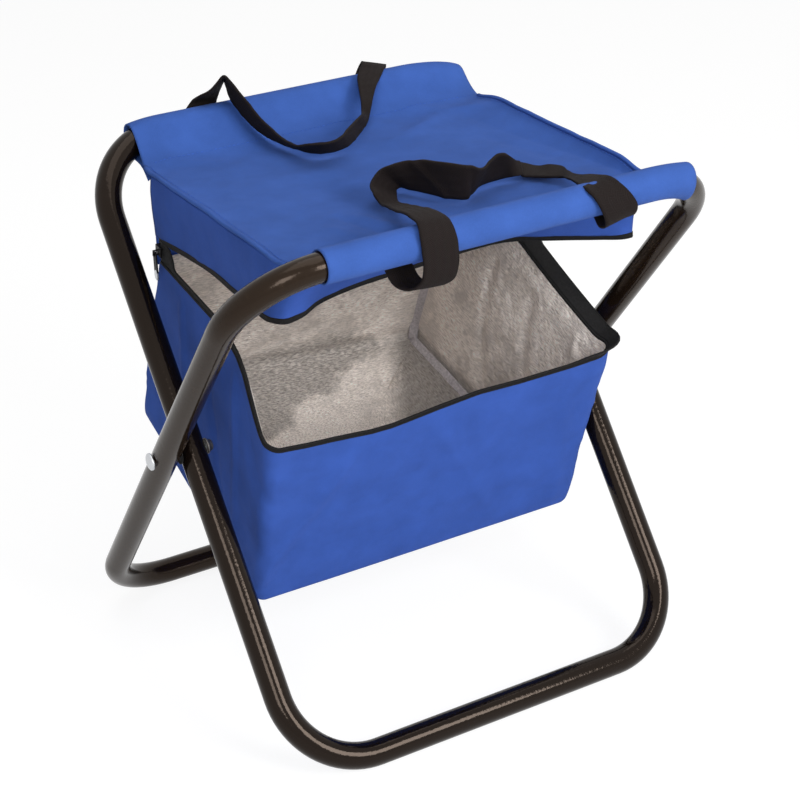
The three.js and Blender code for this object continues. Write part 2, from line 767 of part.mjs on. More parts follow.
// Stations down the left rim, round the front and back up the right rim, at a rise above it.
function rimRoute(inset, rise) {
  const leftSide = [rimStart, ...leftStationShares.map((share) => share * rimDepth)];
  const rightSide = [...rightStationShares.map((share) => share * rimDepth), bagCornerRadius, rimStart];
  const route = (drop) => [
    ...leftSide.map((depth) => bagPlace(-bagLeft + inset, depth, drop)),
    ...cornerAngles.map((angle) => cornerPlace(false, true, inset, drop, angle)),
    ...frontStationShares.map((share) => frontPlace(share, inset, drop)),
    ...[...cornerAngles].reverse().map((angle) => cornerPlace(true, true, inset, drop, angle)),
    ...rightSide.map((depth) => bagPlace(bagRight - inset, depth, drop)),
  ];
  const rim = route(0);
  const above = route(-gap);
  return rim.map((p, i) => {
    const next = rim[Math.min(i + 1, rim.length - 1)];
    const along = next.clone().sub(rim[Math.max(i - 1, 0)]).normalize();
    const up = above[i].sub(p);
    return p.clone().addScaledVector(up.addScaledVector(along, -up.dot(along)).normalize(), rise);
  });
}

const columnsFrom = (routes) => routes[0].map((_, i) => routes.map((route) => route[i]));

// Binding over the raw edges of the three layers, left, front and right.
const bindingRise = gap + bindingThickness / 2;
const bindingRows = columnsFrom([rimRoute(0, bindingRise), rimRoute(bagLayers, bindingRise)]);
addPiece(stool, "rim_binding", sheet(bindingRows, bindingThickness), "tape");

// Lower half of the zip, standing on the binding and flared outwards along the right side.
const tapeRoot = 2 * gap + bindingThickness + zipTapeThickness / 2;
const tapeInset = shellThickness / 2;
const standingTape = rimRoute(tapeInset, tapeRoot + zipTapeHeight);
const rootTape = rimRoute(tapeInset, tapeRoot);
const flareShares = [0.35, 0.8, 1, 1, 0.9, 0, 0, 0];
const flareStart = rootTape.length - flareShares.length;
const flaredTape = standingTape.map((p, i) => {
  if (i < flareStart) return p;
  const flared = rootTape[i].clone().add(point(tapeFlareWidth, 0, zipTapeHeight / 2));
  return p.clone().lerp(flared, flareShares[i - flareStart]);
});
addPiece(stool, "lower_zip_tape", sheet(columnsFrom([rootTape, flaredTape]), zipTapeThickness), "tape");

// Binding tape over the lining's inner seams: four upright and one along each bottom side.
const seamInset = bagLayers + gap + seamTapeThickness / 2;
const seamSpread = THREE.MathUtils.degToRad(18);
const seamHeightShares = [0.06, 0.33, 0.67, 0.9];
for (const [endName, front] of [["rear", false], ["front", true]]) {
  for (const [sideName, right] of [["left", false], ["right", true]]) {
    const pinched = right && !front;
    const inset = pinched ? seamInset + pinchedSeamGap : seamInset;
    const rows = seamHeightShares.map((share) =>
      [-seamSpread, seamSpread].map((turn) =>
        cornerPlace(right, front, inset, share * wallHeight, quarter / 2 + turn),
      ),
    );
    const name = "seam_tape_" + endName + "_" + sideName;
    addPiece(stool, name, sheet(rows, seamTapeThickness), "binding");
  }
}

const seamFloor = wallHeight - bagLayers - gap - seamTapeThickness;
const seamSpanShares = [0, 0.33, 0.67, 1];
for (const [sideName, right] of [["left", false], ["right", true]]) {
  const wallX = (inset) => (right ? bagRight - inset : -bagLeft + inset);
  const rows = seamSpanShares.map((share) => {
    const depth = lerp(bagCornerRadius, bagDepthAt(seamFloor) - bagCornerRadius, share);
    return [
      bagPlace(wallX(seamInset), depth, seamFloor - seamTapeWidth / Math.SQRT2),
      bagPlace(wallX(seamInset + seamTapeWidth / Math.SQRT2), depth, seamFloor),
    ];
  });
  addPiece(stool, "seam_tape_bottom_" + sideName, sheet(rows, seamTapeThickness), "binding");
}

// Zip slider: a channel that straddles the lower tape, at the rear of the left side, with its bail.
const tapeStart = standingTape[0];
const leftRimSlope = Math.atan2(standingTape[1].z - tapeStart.z, standingTape[1].y - tapeStart.y) + Math.PI;
const tapeTop = tapeStart.clone().lerp(
  standingTape[1],
  (gap + sliderLength / 2) / tapeStart.distanceTo(standingTape[1]),
);
const channel = zipTapeThickness / 2 + gap;
const plate = channel + sliderWall;
const outline = (places) => places.map(([x, z]) => new THREE.Vector2(x, z));
const channelShape = new THREE.Shape(
  outline([
    [-plate, gap + sliderWall],
    [-plate, -sliderDrop],
    [-channel, -sliderDrop],
    [-channel, gap],
    [channel, gap],
    [channel, -sliderDrop],
    [plate, -sliderDrop],
    [plate, gap + sliderWall],
  ]),
);
const bailLow = bailRoot - sliderDrop;
const bailTop = bailLow + bailHeight;
const bailOut = -plate - bailReach;
const bailIn = bailRoot - plate;
const bailShape = new THREE.Shape(
  outline([
    [bailIn, bailLow],
    [bailIn, bailTop],
    [bailOut, bailTop],
    [bailOut, bailLow],
  ]),
);
bailShape.holes.push(
  new THREE.Path(
    outline([
      [-plate - gap, bailLow + bailWire],
      [bailOut + bailWire, bailLow + bailWire],
      [bailOut + bailWire, bailTop - bailWire],
      [-plate - gap, bailTop - bailWire],
    ]),
  ),
);

const curveSegments = 8;

// An outline in X and Z made as long as asked along Y, about its middle.
function extruded(shape, length) {
  const made = new THREE.ExtrudeGeometry(shape, { depth: length, bevelEnabled: false, curveSegments });
  return made.translate(0, 0, -length / 2).rotateX(quarter);
}

const sliderSolid = toManifold(extruded(channelShape, sliderLength)).add(
  toManifold(extruded(bailShape, bailWire)),
);
const slider = addPiece(stool, "zip_slider", toGeometry(sliderSolid), "steel");
slider.position.copy(tapeTop);
slider.rotation.x = leftRimSlope;

// Pull tab: its eye goes round the bail's lower bar, and it hangs straight down.
const pullShape = new THREE.Shape();
pullShape.moveTo(-pullWidth / 2, 0);
pullShape.lineTo(-pullWidth / 2, pullWidth / 2 - pullLength);
pullShape.absarc(0, pullWidth / 2 - pullLength, pullWidth / 2, 2 * quarter, 4 * quarter, false);
pullShape.lineTo(pullWidth / 2, 0);
pullShape.absarc(0, 0, pullWidth / 2, 0, 2 * quarter, false);
const eyeHole = new THREE.Path();
eyeHole.absarc(0, 0, pullEye, 0, 4 * quarter, true);
pullShape.holes.push(eyeHole);
const pull = addPiece(stool, "zip_pull", extruded(pullShape, pullThickness).rotateZ(-quarter), "steel");
pull.position.set(-plate - pullStandoff, 0, bailLow + bailWire / 2);
pull.position.applyEuler(slider.rotation).add(tapeTop);

// A strap along a route of [place, direction across the strap].
function strap(route) {
  const middle = new THREE.CatmullRomCurve3(route.map(([place]) => place));
  const across = new THREE.CatmullRomCurve3(route.map(([, direction]) => direction.normalize()));
  const rows = shares(strapSteps).map((share) => {
    const centre = middle.getPoint(share);
    const along = middle.getTangent(share);
    const wide = across.getPoint(share);
    wide.addScaledVector(along, -wide.dot(along)).normalize();
    return [0.5, 0, -0.5].map((half) => centre.clone().addScaledVector(wide, half * strapWidth));
  });
  return sheet(rows, strapThickness);
}

// The strap's middle from the rail's centre where it lies on the sleeve
const strapReach = sleeveCorner + gap + strapThickness / 2;

// What a station's distance in from the rail's centre and its lift above it are shares of
const zones = {
  rail: { inwards: strapReach, lift: strapReach },
  seat: { inwards: handleReach, lift: seatDrop },
};

// A handle on the front rail, with railSide -1, or on the rear rail, with +1.
function handle(railSide, stationShares) {
  return strap(
    stationShares.map(([zone, acrossShare, inwardsShare, liftShare, [x, towardsSeat, up]]) => {
      const inwards = inwardsShare * zones[zone].inwards;
      const lift = liftShare * zones[zone].lift;
      return [
        point(acrossShare * handleSpan, railSide * (railY - inwards), topRailHeight + lift),
        point(x, -railSide * towardsSeat, up),
      ];
    }),
  );
}

// Each station: its zone, its place along the rail, inwards and up as shares, and the way its width lies.
const frontHandleShares = [
  ["rail", -0.49, 0.23, -1.03, [1, 0, 0]],
  ["rail", -0.48, -0.46, -1.55, [1, 0, 0]],
  ["rail", -0.42, -1.08, -2, [1, 0, 0]],
  ["rail", -0.37, -1.24, -1.24, [1, 0, 0]],
  ["rail", -0.36, -1.24, 0, [1, 0, 0]],
  ["rail", -0.33, -0.7, 1.16, [1, 0, 0]],
  ["rail", -0.28, 0.39, 1.35, [1, 0, 0]],
  ["rail", -0.2, 2, 0.62, [1, 0, 0]],
  ["seat", -0.13, 0.41, -0.3, [1, 0, 0]],
  ["seat", -0.12, 0.67, -0.6, [1, 0, 0]],
  ["seat", -0.11, 0.83, -0.46, [0.8, -0.4, 0.3]],
  ["seat", -0.01, 0.96, -0.08, [0.3, -0.6, 0.7]],
  ["seat", 0.12, 1, 0.15, [0, -0.6, 0.8]],
  ["seat", 0.28, 0.93, 0.15, [-0.1, -0.5, 0.85]],
  ["seat", 0.41, 0.78, 0.15, [-0.3, -0.5, 0.8]],
  ["seat", 0.53, 0.64, 0, [-0.6, -0.4, 0.6]],
  ["seat", 0.61, 0.48, 0, [-0.9, -0.1, 0.3]],
  ["seat", 0.65, 0.29, 0.38, [-1, 0, 0.1]],
  ["rail", 0.64, 1.39, 1, [-1, 0, 0]],
  ["rail", 0.6, 0.15, 1.35, [-1, 0, 0]],
  ["rail", 0.56, -0.93, 1, [-1, 0, 0]],
  ["rail", 0.53, -1.24, 0.15, [-1, 0, 0]],
  ["rail", 0.52, -1, -0.62, [-1, 0, 0]],
];
const rearHandleShares = [
  ["rail", -0.44, -1.03, -0.15, [1, 0, 0]],
  ["rail", -0.41, -1.31, 0.7, [1, 0, 0.1]],
  ["rail", -0.36, -1.31, 1.55, [1, 0.1, 0.2]],
  ["rail", -0.29, -1.16, 2, [0.9, 0.3, 0.3]],
  ["rail", -0.24, -0.46, 1.78, [0.9, 0.4, 0]],
  ["rail", -0.23, 0.93, 1.24, [0.9, 0.4, -0.3]],
  ["rail", -0.23, 2.32, 0.39, [0.9, 0.3, -0.2]],
  ["seat", -0.21, 0.38, -0.08, [0.8, 0.3, 0.5]],
  ["seat", -0.17, 0.55, 0.15, [0.6, 0.2, 0.8]],
  ["seat", -0.08, 0.67, 0.23, [0.2, 0.3, 0.9]],
  ["seat", 0.03, 0.68, 0.23, [-0.2, 0.5, 0.85]],
  ["seat", 0.15, 0.58, 0.23, [-0.5, 0.3, 0.8]],
  ["seat", 0.27, 0.42, 0.15, [-0.8, 0, 0.6]],
  ["seat", 0.39, 0.22, 0.62, [-1, 0, 0.2]],
  ["rail", 0.48, 0.62, 1.31, [-1, 0, 0]],
  ["rail", 0.52, -0.7, 1.31, [-1, 0, 0]],
  ["rail", 0.52, -1.31, 0.46, [-1, 0, 0]],
  ["rail", 0.51, -1.03, -0.15, [-1, 0, 0]],
];
addPiece(stool, "front_handle", handle(-1, frontHandleShares), "webbing");
addPiece(stool, "rear_handle", handle(1, rearHandleShares), "webbing");

export default stool;
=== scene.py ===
import bpy
import numpy as np
from mathutils import Matrix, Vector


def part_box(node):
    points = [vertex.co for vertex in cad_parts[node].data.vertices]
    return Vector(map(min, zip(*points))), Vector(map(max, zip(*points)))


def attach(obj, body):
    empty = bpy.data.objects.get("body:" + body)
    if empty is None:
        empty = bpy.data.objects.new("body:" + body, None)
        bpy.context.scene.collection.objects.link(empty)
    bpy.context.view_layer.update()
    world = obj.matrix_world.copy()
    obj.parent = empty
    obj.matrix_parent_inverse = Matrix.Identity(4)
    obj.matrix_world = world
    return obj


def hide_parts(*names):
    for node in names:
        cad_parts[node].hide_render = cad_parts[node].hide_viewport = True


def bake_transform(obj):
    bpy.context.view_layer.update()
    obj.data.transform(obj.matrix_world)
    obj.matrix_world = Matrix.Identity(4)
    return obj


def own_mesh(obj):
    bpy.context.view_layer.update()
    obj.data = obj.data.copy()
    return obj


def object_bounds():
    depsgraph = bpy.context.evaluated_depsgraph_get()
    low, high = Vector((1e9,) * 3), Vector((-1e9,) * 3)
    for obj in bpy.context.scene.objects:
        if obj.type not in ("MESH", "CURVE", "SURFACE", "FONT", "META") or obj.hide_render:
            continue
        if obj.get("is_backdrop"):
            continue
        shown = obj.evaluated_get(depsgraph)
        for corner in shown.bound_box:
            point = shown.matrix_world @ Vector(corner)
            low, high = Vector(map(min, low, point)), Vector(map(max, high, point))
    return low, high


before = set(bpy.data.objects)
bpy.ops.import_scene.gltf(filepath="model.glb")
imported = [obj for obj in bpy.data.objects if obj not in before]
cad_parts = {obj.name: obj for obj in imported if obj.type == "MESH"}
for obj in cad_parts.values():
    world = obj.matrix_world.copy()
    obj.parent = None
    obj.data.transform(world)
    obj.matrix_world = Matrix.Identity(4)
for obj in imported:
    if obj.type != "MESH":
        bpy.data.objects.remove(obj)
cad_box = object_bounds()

# Shapes are worked out in millimetres, in the frame of the solids, and put into meshes in metres.
MM = 0.001

# The fold in the bag's foil floor: the direction square to it in plan and its distance from the origin.
# The edge of the painted grey shade on the floor beside it has its own direction.
ACROSS_FOLD, FOLD_OFFSET = (-0.398, 0.917), 107.5
ACROSS_SHADE_EDGE = (0.893, -0.451)

# How far the bag's floor rises for each step to the rear
FLOOR_SLOPE = 0.405


# ---- camera, floor and light

def place_camera():
    """The photograph's camera: turned by yaw, tipped by pitch and rolled, at a place fitted to the tubes."""
    yaw, pitch, roll = np.radians([29.7596, 26.8981, -1.66223])
    ahead = np.array([np.cos(pitch) * np.sin(yaw), np.cos(pitch) * np.cos(yaw), -np.sin(pitch)])
    right = np.array([np.cos(yaw), -np.sin(yaw), 0.0])
    up = np.cross(right, ahead)
    right, up = (np.cos(roll) * right + np.sin(roll) * up, -np.sin(roll) * right + np.cos(roll) * up)
    camera = bpy.data.objects.new("camera", bpy.data.cameras.new("camera"))
    turned = np.eye(4)
    turned[:3, :3] = np.stack([right, up, -ahead], axis=1)
    turned[:3, 3] = np.array([-653.7, -1160.5, 874.4]) * MM
    camera.matrix_world = Matrix(turned.tolist())
    camera.data.sensor_width = 36
    camera.data.lens = 88.128
    camera.data.clip_start = 0.01
    bpy.context.scene.collection.objects.link(camera)
    bpy.context.scene.camera = camera


def soft_lamp(name, place, aim, size, watts):
    """A square area lamp at a place in metres, facing a point."""
    lamp = bpy.data.objects.new(name, bpy.data.lights.new(name, "AREA"))
    lamp.data.size = size
    lamp.data.energy = watts
    away = np.array(place) - np.array(aim)
    away /= np.linalg.norm(away)
    side = np.cross([0, 0, 1], away)
    side /= np.linalg.norm(side)
    turned = np.eye(4)
    turned[:3, :3] = np.stack([side, np.cross(away, side), away], axis=1)
    turned[:3, 3] = place
    lamp.matrix_world = Matrix(turned.tolist())
    bpy.context.scene.collection.objects.link(lamp)


place_camera()
soft_lamp("key", (0.62, -1.85, 1.2), (0, 0, 0.22), 0.9, 28)
soft_lamp("top", (0.1, -0.1, 2.0), (0, 0, 0.2), 1.4, 9)
soft_lamp("fill", (-1.0, -1.5, 1.25), (0, 0, 0.22), 0.7, 11)


# ---- finishes

class Finish:
    """A material and its node tree. add() makes a node and links or sets its inputs by name."""

    def __init__(self, name, colour, roughness, metallic=0.0):
        self.material = bpy.data.materials.new(name)
        self.material.use_nodes = True
        self.tree = self.material.node_tree
        self.shader = next(n for n in self.tree.nodes if n.type == "BSDF_PRINCIPLED")
        self.set("Base Color", (*colour, 1.0))
        self.set("Roughness", roughness)
        self.set("Metallic", metallic)

    def set(self, name, value):
        self.put(self.shader.inputs[name], value)

    def put(self, socket, value):
        if isinstance(value, bpy.types.NodeSocket):
            self.tree.links.new(value, socket)
        else:
            socket.default_value = value

    def add(self, kind, *inputs, out=0, **settings):
        node = self.tree.nodes.new("ShaderNode" + kind)
        for key, value in settings.items():
            setattr(node, key, value)
        for which, value in inputs:
            self.put(node.inputs[which], value)
        return node.outputs[out]

    def math(self, operation, first, second=0.0):
        return self.add("Math", (0, first), (1, second), operation=operation)

    def noise(self, place, scale, detail=3.0, roughness=0.55):
        inputs = [("Vector", place), ("Scale", scale), ("Detail", detail), ("Roughness", roughness)]
        return self.add("TexNoise", *inputs)

    def remap(self, value, low, high, to_low=0.0, to_high=1.0):
        inputs = [("Value", value), ("From Min", low), ("From Max", high)]
        inputs += [("To Min", to_low), ("To Max", to_high)]
        return self.add("MapRange", *inputs)

    def mix(self, share, first, second, blend="MIX"):
        inputs = [(0, share), (6, first), (7, second)]
        return self.add("Mix", *inputs, data_type="RGBA", blend_type=blend, out=2)

    def bump(self, height, distance, strength=1.0, under=None):
        inputs = [("Height", height), ("Distance", distance), ("Strength", strength)]
        if under is not None:
            inputs.append(("Normal", under))
        return self.add("Bump", *inputs)

    def mottle(self, share, colour, low, high):
        """The base colour, mixed between a darker and a lighter shade of itself."""
        self.set("Base Color", self.mix(share, shade(colour, low), shade(colour, high)))

    def places(self):
        return self.add("TexCoord", out=3)

    def cloth_map(self):
        return self.add("TexCoord", out=2)

    def across_and_along(self):
        split = self.tree.nodes.new("ShaderNodeSeparateXYZ")
        self.put(split.inputs[0], self.cloth_map())
        return split.outputs[0], split.outputs[1]

    def weave(self, pitch):
        """Plain weave: the product of one sine across and one along, raised where the warp lies on top."""
        across, along = self.across_and_along()
        turn = 2 * np.pi / pitch
        warp = self.math("SINE", self.math("MULTIPLY", across, turn))
        weft = self.math("SINE", self.math("MULTIPLY", along, turn))
        return self.math("MULTIPLY", warp, weft)


def linear(*srgb):
    """sRGB values from 0 to 255 as linear light."""
    value = np.array(srgb) / 255.0
    return tuple(np.where(value <= 0.04045, value / 12.92, ((value + 0.055) / 1.055) ** 2.4))


def shade(colour, factor):
    return (*[part * factor for part in colour], 1.0)


def woven_cloth(name, colour, pitch, sheen, worn):
    """Coated woven polyester: plain weave, blotchy dye, slight fading and a little sheen at its edges."""
    finish = Finish(name, colour, 0.78)
    place = finish.places()
    blotch = finish.remap(finish.noise(place, 38.0, 4.0), 0.3, 0.7)
    grain = finish.noise(place, 900.0, 2.0)
    dyed = finish.mix(blotch, shade(colour, 0.9), shade(colour, 1.1))
    faded = finish.mix(finish.remap(grain, 0.35, 0.65, 0.0, worn), dyed, shade(colour, 1.45))
    finish.set("Base Color", faded)
    finish.set("Roughness", finish.remap(grain, 0.2, 0.8, 0.7, 0.88))
    weave = finish.bump(finish.weave(pitch), 0.00012, 0.6)
    slub = finish.bump(finish.noise(place, 160.0, 3.0), 0.0006, 0.5, weave)
    finish.set("Normal", slub)
    finish.set("Sheen Weight", sheen)
    finish.set("Sheen Roughness", 0.4)
    finish.set("Specular IOR Level", 0.08)
    return finish.material


def insulating_foil():
    """Aluminised film on a scrim: short dashes pressed across it and painted bright as glints, broad patches of
    painted light and painted shade, sharp small creases, painted shade beyond the fold that crosses the bag's
    floor, on its drawn-up side, and painted grey shade on the floor to the right of a line. Both lines, and the
    floor's height, are dot products of the place with a direction."""
    colour = linear(206, 198, 191)
    finish = Finish("insulating_foil", colour, 0.4, 0.2)
    across, along = finish.across_and_along()
    dash_x, dash_y = finish.math("MULTIPLY", across, 210.0), finish.math("MULTIPLY", along, 900.0)
    dashes = finish.add("CombineXYZ", (0, dash_x), (1, dash_y))
    fleck = finish.noise(dashes, 1.0, 2.0, 0.6)
    place = finish.places()
    patch = finish.noise(place, 26.0, 5.0, 0.62)
    crumple = finish.noise(place, 95.0, 4.0, 0.65)
    beyond = finish.add("VectorMath", (0, place), (1, (*ACROSS_FOLD, 0.0)), operation="DOT_PRODUCT", out=1)
    wavering = finish.math("ADD", beyond, finish.remap(patch, 0.3, 0.7, -0.012, 0.012))
    on_floor = finish.remap(finish.add("SeparateXYZ", (0, place), out=2), 0.184, 0.197, 1.0, 0.0)
    past_fold = finish.remap(wavering, FOLD_OFFSET * MM - 0.003, FOLD_OFFSET * MM + 0.006)
    shaded = finish.math("MULTIPLY", past_fold, on_floor)
    right_of_ray = finish.add(
        "VectorMath", (0, place), (1, (*ACROSS_SHADE_EDGE, 0.0)), operation="DOT_PRODUCT", out=1
    )
    above_floor = finish.add(
        "VectorMath", (0, place), (1, (0.0, -FLOOR_SLOPE, 1.0)), operation="DOT_PRODUCT", out=1
    )
    near_floor = finish.remap(above_floor, 0.104, 0.118, 1.0, 0.0)
    to_right = finish.math("MULTIPLY", finish.remap(right_of_ray, 0.004, 0.022), near_floor)
    # Painted shade: beyond the fold the floor is darkened to about half the foil's colour, as if it lay in shade.
    dullness_and_painted_shade = finish.mix(finish.remap(fleck, 0.4, 0.62), shade(colour, 0.5), shade(colour, 1.05))
    # Painted light: the pressed dashes are painted up to nearly twice the foil's colour as glints, and broad
    # patches of painted shade dim them.
    dashes_with_painted_glints = finish.mix(finish.remap(fleck, 0.36, 0.62), shade(colour, 1.1), shade(colour, 1.9))
    lit = finish.mix(finish.remap(patch, 0.46, 0.62, 0.0, 0.7), dashes_with_painted_glints, shade(colour, 0.95))
    # Painted shade: near the floor, to the right of the line, the foil is painted grey.
    painted_grey_shade = finish.mix(finish.remap(fleck, 0.34, 0.66), shade(colour, 0.4), shade(colour, 0.72))
    lit = finish.mix(to_right, lit, painted_grey_shade)
    finish.set("Base Color", finish.mix(shaded, lit, dullness_and_painted_shade))
    finish.set("Roughness", finish.remap(fleck, 0.3, 0.7, 0.5, 0.28))
    pressed = finish.bump(fleck, 0.0014, 0.9)
    finish.set("Normal", finish.bump(crumple, 0.005, 0.7, pressed))
    return finish.material


def powder_coat(name, colour, roughness):
    """Stoved paint on steel tube: fine orange peel, faint scuffs along the leg and warm reflections."""
    finish = Finish(name, colour, roughness)
    place = finish.places()
    peel = finish.noise(place, 420.0, 2.0)
    scuff = finish.remap(finish.noise(place, 55.0, 6.0, 0.7), 0.62, 0.78)
    finish.mottle(scuff, colour, 1.0, 1.7)
    finish.set("Roughness", finish.remap(scuff, 0.0, 1.0, roughness, roughness + 0.22))
    finish.set("Normal", finish.bump(peel, 0.00025, 0.35))
    finish.set("Specular IOR Level", 0.25)
    finish.set("Specular Tint", (1.0, 0.79, 0.65, 1.0))
    return finish.material


def bare_metal(name, colour, roughness):
    """Plated or turned metal: fine brushing and dull spots."""
    finish = Finish(name, colour, roughness, 0.95)
    place = finish.places()
    brushed = finish.noise(place, 1500.0, 2.0)
    dullness_and_painted_shade = finish.noise(place, 240.0, 3.0)
    finish.set("Roughness", finish.remap(dullness_and_painted_shade, 0.3, 0.7, roughness, roughness + 0.2))
    finish.mottle(dullness_and_painted_shade, colour, 0.85, 1.1)
    finish.set("Normal", finish.bump(brushed, 0.00008, 0.5))
    return finish.material


def webbing():
    """Herringbone strap: ribs that slant one way and then the other across the width, with worn fuzz."""
    colour = linear(29, 23, 22)
    finish = Finish("strap_webbing", colour, 0.82)
    across, along = finish.across_and_along()
    zigzag = finish.math("PINGPONG", across, 0.003)
    slanted = finish.math("ADD", along, zigzag)
    ribs = finish.math("SINE", finish.math("MULTIPLY", slanted, 2 * np.pi / 0.0016))
    fuzz = finish.noise(finish.places(), 700.0, 3.0)
    tone = finish.mix(finish.remap(fuzz, 0.3, 0.7), shade(colour, 0.8), shade(colour, 1.25))
    finish.set("Base Color", finish.mix(finish.remap(ribs, -1.0, 1.0, 0.0, 0.3), tone, shade(colour, 1.4)))
    finish.set("Roughness", finish.remap(fuzz, 0.3, 0.7, 0.75, 0.92))
    finish.set("Normal", finish.bump(fuzz, 0.0003, 0.5, finish.bump(ribs, 0.0002, 0.7)))
    finish.set("Specular IOR Level", 0.15)
    return finish.material


def plain_tape(name, colour, pitch):
    """Narrow woven tape: fine ribs along its length and a slight mottle."""
    finish = Finish(name, colour, 0.8)
    _, along = finish.across_and_along()
    ribs = finish.math("SINE", finish.math("MULTIPLY", along, 2 * np.pi / pitch))
    fuzz = finish.noise(finish.places(), 500.0, 3.0)
    finish.mottle(finish.remap(fuzz, 0.3, 0.7), colour, 0.75, 1.3)
    finish.set("Roughness", finish.remap(fuzz, 0.3, 0.7, 0.7, 0.9))
    finish.set("Normal", finish.bump(fuzz, 0.0003, 0.4, finish.bump(ribs, 0.00015, 0.6)))
    finish.set("Specular IOR Level", 0.25)
    return finish.material


def open_cell_foam():
    """Polyethylene foam: pale, with small closed pores."""
    colour = linear(226, 224, 218)
    finish = Finish("insulating_foam", colour, 0.85)
    pores = finish.add("TexVoronoi", ("Vector", finish.places()), ("Scale", 900.0))
    finish.mottle(finish.remap(pores, 0.1, 0.6), colour, 0.8, 1.0)
    finish.set("Roughness", finish.remap(pores, 0.0, 0.7, 0.92, 0.8))
    finish.set("Normal", finish.bump(pores, 0.0004, 0.6))
    return finish.material


def moulded_nylon():
    """Black moulded nylon: a fine spark-eroded grain and paler rubbed spots."""
    colour = linear(26, 26, 27)
    finish = Finish("spacer_nylon", colour, 0.5)
    grain = finish.noise(finish.places(), 1200.0, 2.0)
    finish.mottle(finish.remap(grain, 0.55, 0.75), colour, 1.0, 2.0)
    finish.set("Roughness", finish.remap(grain, 0.2, 0.8, 0.42, 0.62))
    finish.set("Normal", finish.bump(grain, 0.0001, 0.5))
    return finish.material


BLUE = linear(62, 96, 172)
finishes = {
    "seat": woven_cloth("seat_polyester", BLUE, 0.0009, 0.03, 0.14),
    "bag": woven_cloth("bag_polyester", linear(58, 90, 172), 0.0009, 0.02, 0.12),
    "foil": insulating_foil(),
    "foam": open_cell_foam(),
    "outer_tube": powder_coat("brown_powder_coat", linear(31, 22, 15), 0.16),
    "inner_tube": powder_coat("dark_powder_coat", linear(15, 10, 8), 0.1),
    "steel": bare_metal("plated_steel", linear(205, 207, 210), 0.28),
    "nylon": moulded_nylon(),
    "strap": webbing(),
    "zip": plain_tape("zip_tape", linear(17, 16, 17), 0.0009),
    "teeth": plain_tape("zip_teeth", linear(24, 23, 24), 0.0012),
    "binding": plain_tape("edge_binding", linear(16, 15, 16), 0.0011),
    "seam": plain_tape("grey_seam_tape", linear(182, 176, 179), 0.001),
    "zinc": bare_metal("dull_zinc", linear(128, 124, 120), 0.42),
    "black_metal": bare_metal("black_lacquered_metal", linear(40, 39, 40), 0.4),
    "thread": plain_tape("blue_thread", linear(60, 98, 184), 0.0008),
}


def lay_floor():
    """A wide pale floor. Seen directly it is partly self-lit: it reaches white and keeps the shadow."""
    finish = Finish("pale_floor", (0.86, 0.86, 0.86), 0.9)
    grain = finish.noise(finish.places(), 6.0, 2.0)
    finish.set("Roughness", finish.remap(grain, 0.2, 0.8, 0.85, 0.95))
    path = finish.tree.nodes.new("ShaderNodeLightPath")
    seen = finish.math("MAXIMUM", finish.math("MAXIMUM", path.outputs[0], path.outputs[3]), path.outputs[6])
    glow = finish.add("Emission", ("Color", (1, 1, 1, 1)), ("Strength", 1.2))
    mixed = finish.add(
        "MixShader", (0, finish.math("MULTIPLY", seen, 0.72)), (1, finish.shader.outputs[0]), (2, glow)
    )
    output = next(n for n in finish.tree.nodes if n.type == "OUTPUT_MATERIAL")
    finish.put(output.inputs[0], mixed)
    half = 14.0
    corners = [(-half, -half, 0), (half, -half, 0), (half, half, 0), (-half, half, 0)]
    mesh = bpy.data.meshes.new("floor")
    mesh.from_pydata(corners, [], [(0, 1, 2, 3)])
    floor = bpy.data.objects.new("floor", mesh)
    floor.data.materials.append(finish.material)
    bpy.context.scene.collection.objects.link(floor)
    floor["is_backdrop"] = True


def light_world():
    """A pale even sky, pure white where it is seen directly, mirrored or through something."""
    world = bpy.data.worlds.new("studio")
    world.use_nodes = True
    tree = world.node_tree
    lit = next(n for n in tree.nodes if n.type == "BACKGROUND")
    white = tree.nodes.new("ShaderNodeBackground")
    for background, strength in ((lit, 0.26), (white, 1.0)):
        background.inputs["Color"].default_value = (1, 1, 1, 1)
        background.inputs["Strength"].default_value = strength
    path = tree.nodes.new("ShaderNodeLightPath")
    seen, through = tree.nodes.new("ShaderNodeMath"), tree.nodes.new("ShaderNodeMath")
    seen.operation = through.operation = "MAXIMUM"
    mixed = tree.nodes.new("ShaderNodeMixShader")
    output = next(n for n in tree.nodes if n.type == "OUTPUT_WORLD")
    for source, target in [
        (path.outputs["Is Glossy Ray"], through.inputs[0]),
        (path.outputs["Is Transmission Ray"], through.inputs[1]),
        (path.outputs["Is Camera Ray"], seen.inputs[0]),
        (through.outputs[0], seen.inputs[1]),
        (seen.outputs[0], mixed.inputs[0]),
        (lit.outputs[0], mixed.inputs[1]),
        (white.outputs[0], mixed.inputs[2]),
        (mixed.outputs[0], output.inputs[0]),
    ]:
        tree.links.new(source, target)
    bpy.context.scene.world = world


light_world()
lay_floor()
bpy.context.scene.view_settings.view_transform = "Standard"


# ---- surfaces on grids

def ease(value):
    """Smooth step: three squares less two cubes, held to 0 and 1 outside."""
    value = np.clip(value, 0.0, 1.0)
    return value * value * (3.0 - 2.0 * value)


def between(table, at):
    """Straight interpolation in a table of (place, value) pairs."""
    table = np.array(table, float)
    return np.interp(at, table[:, 0], table[:, 1])


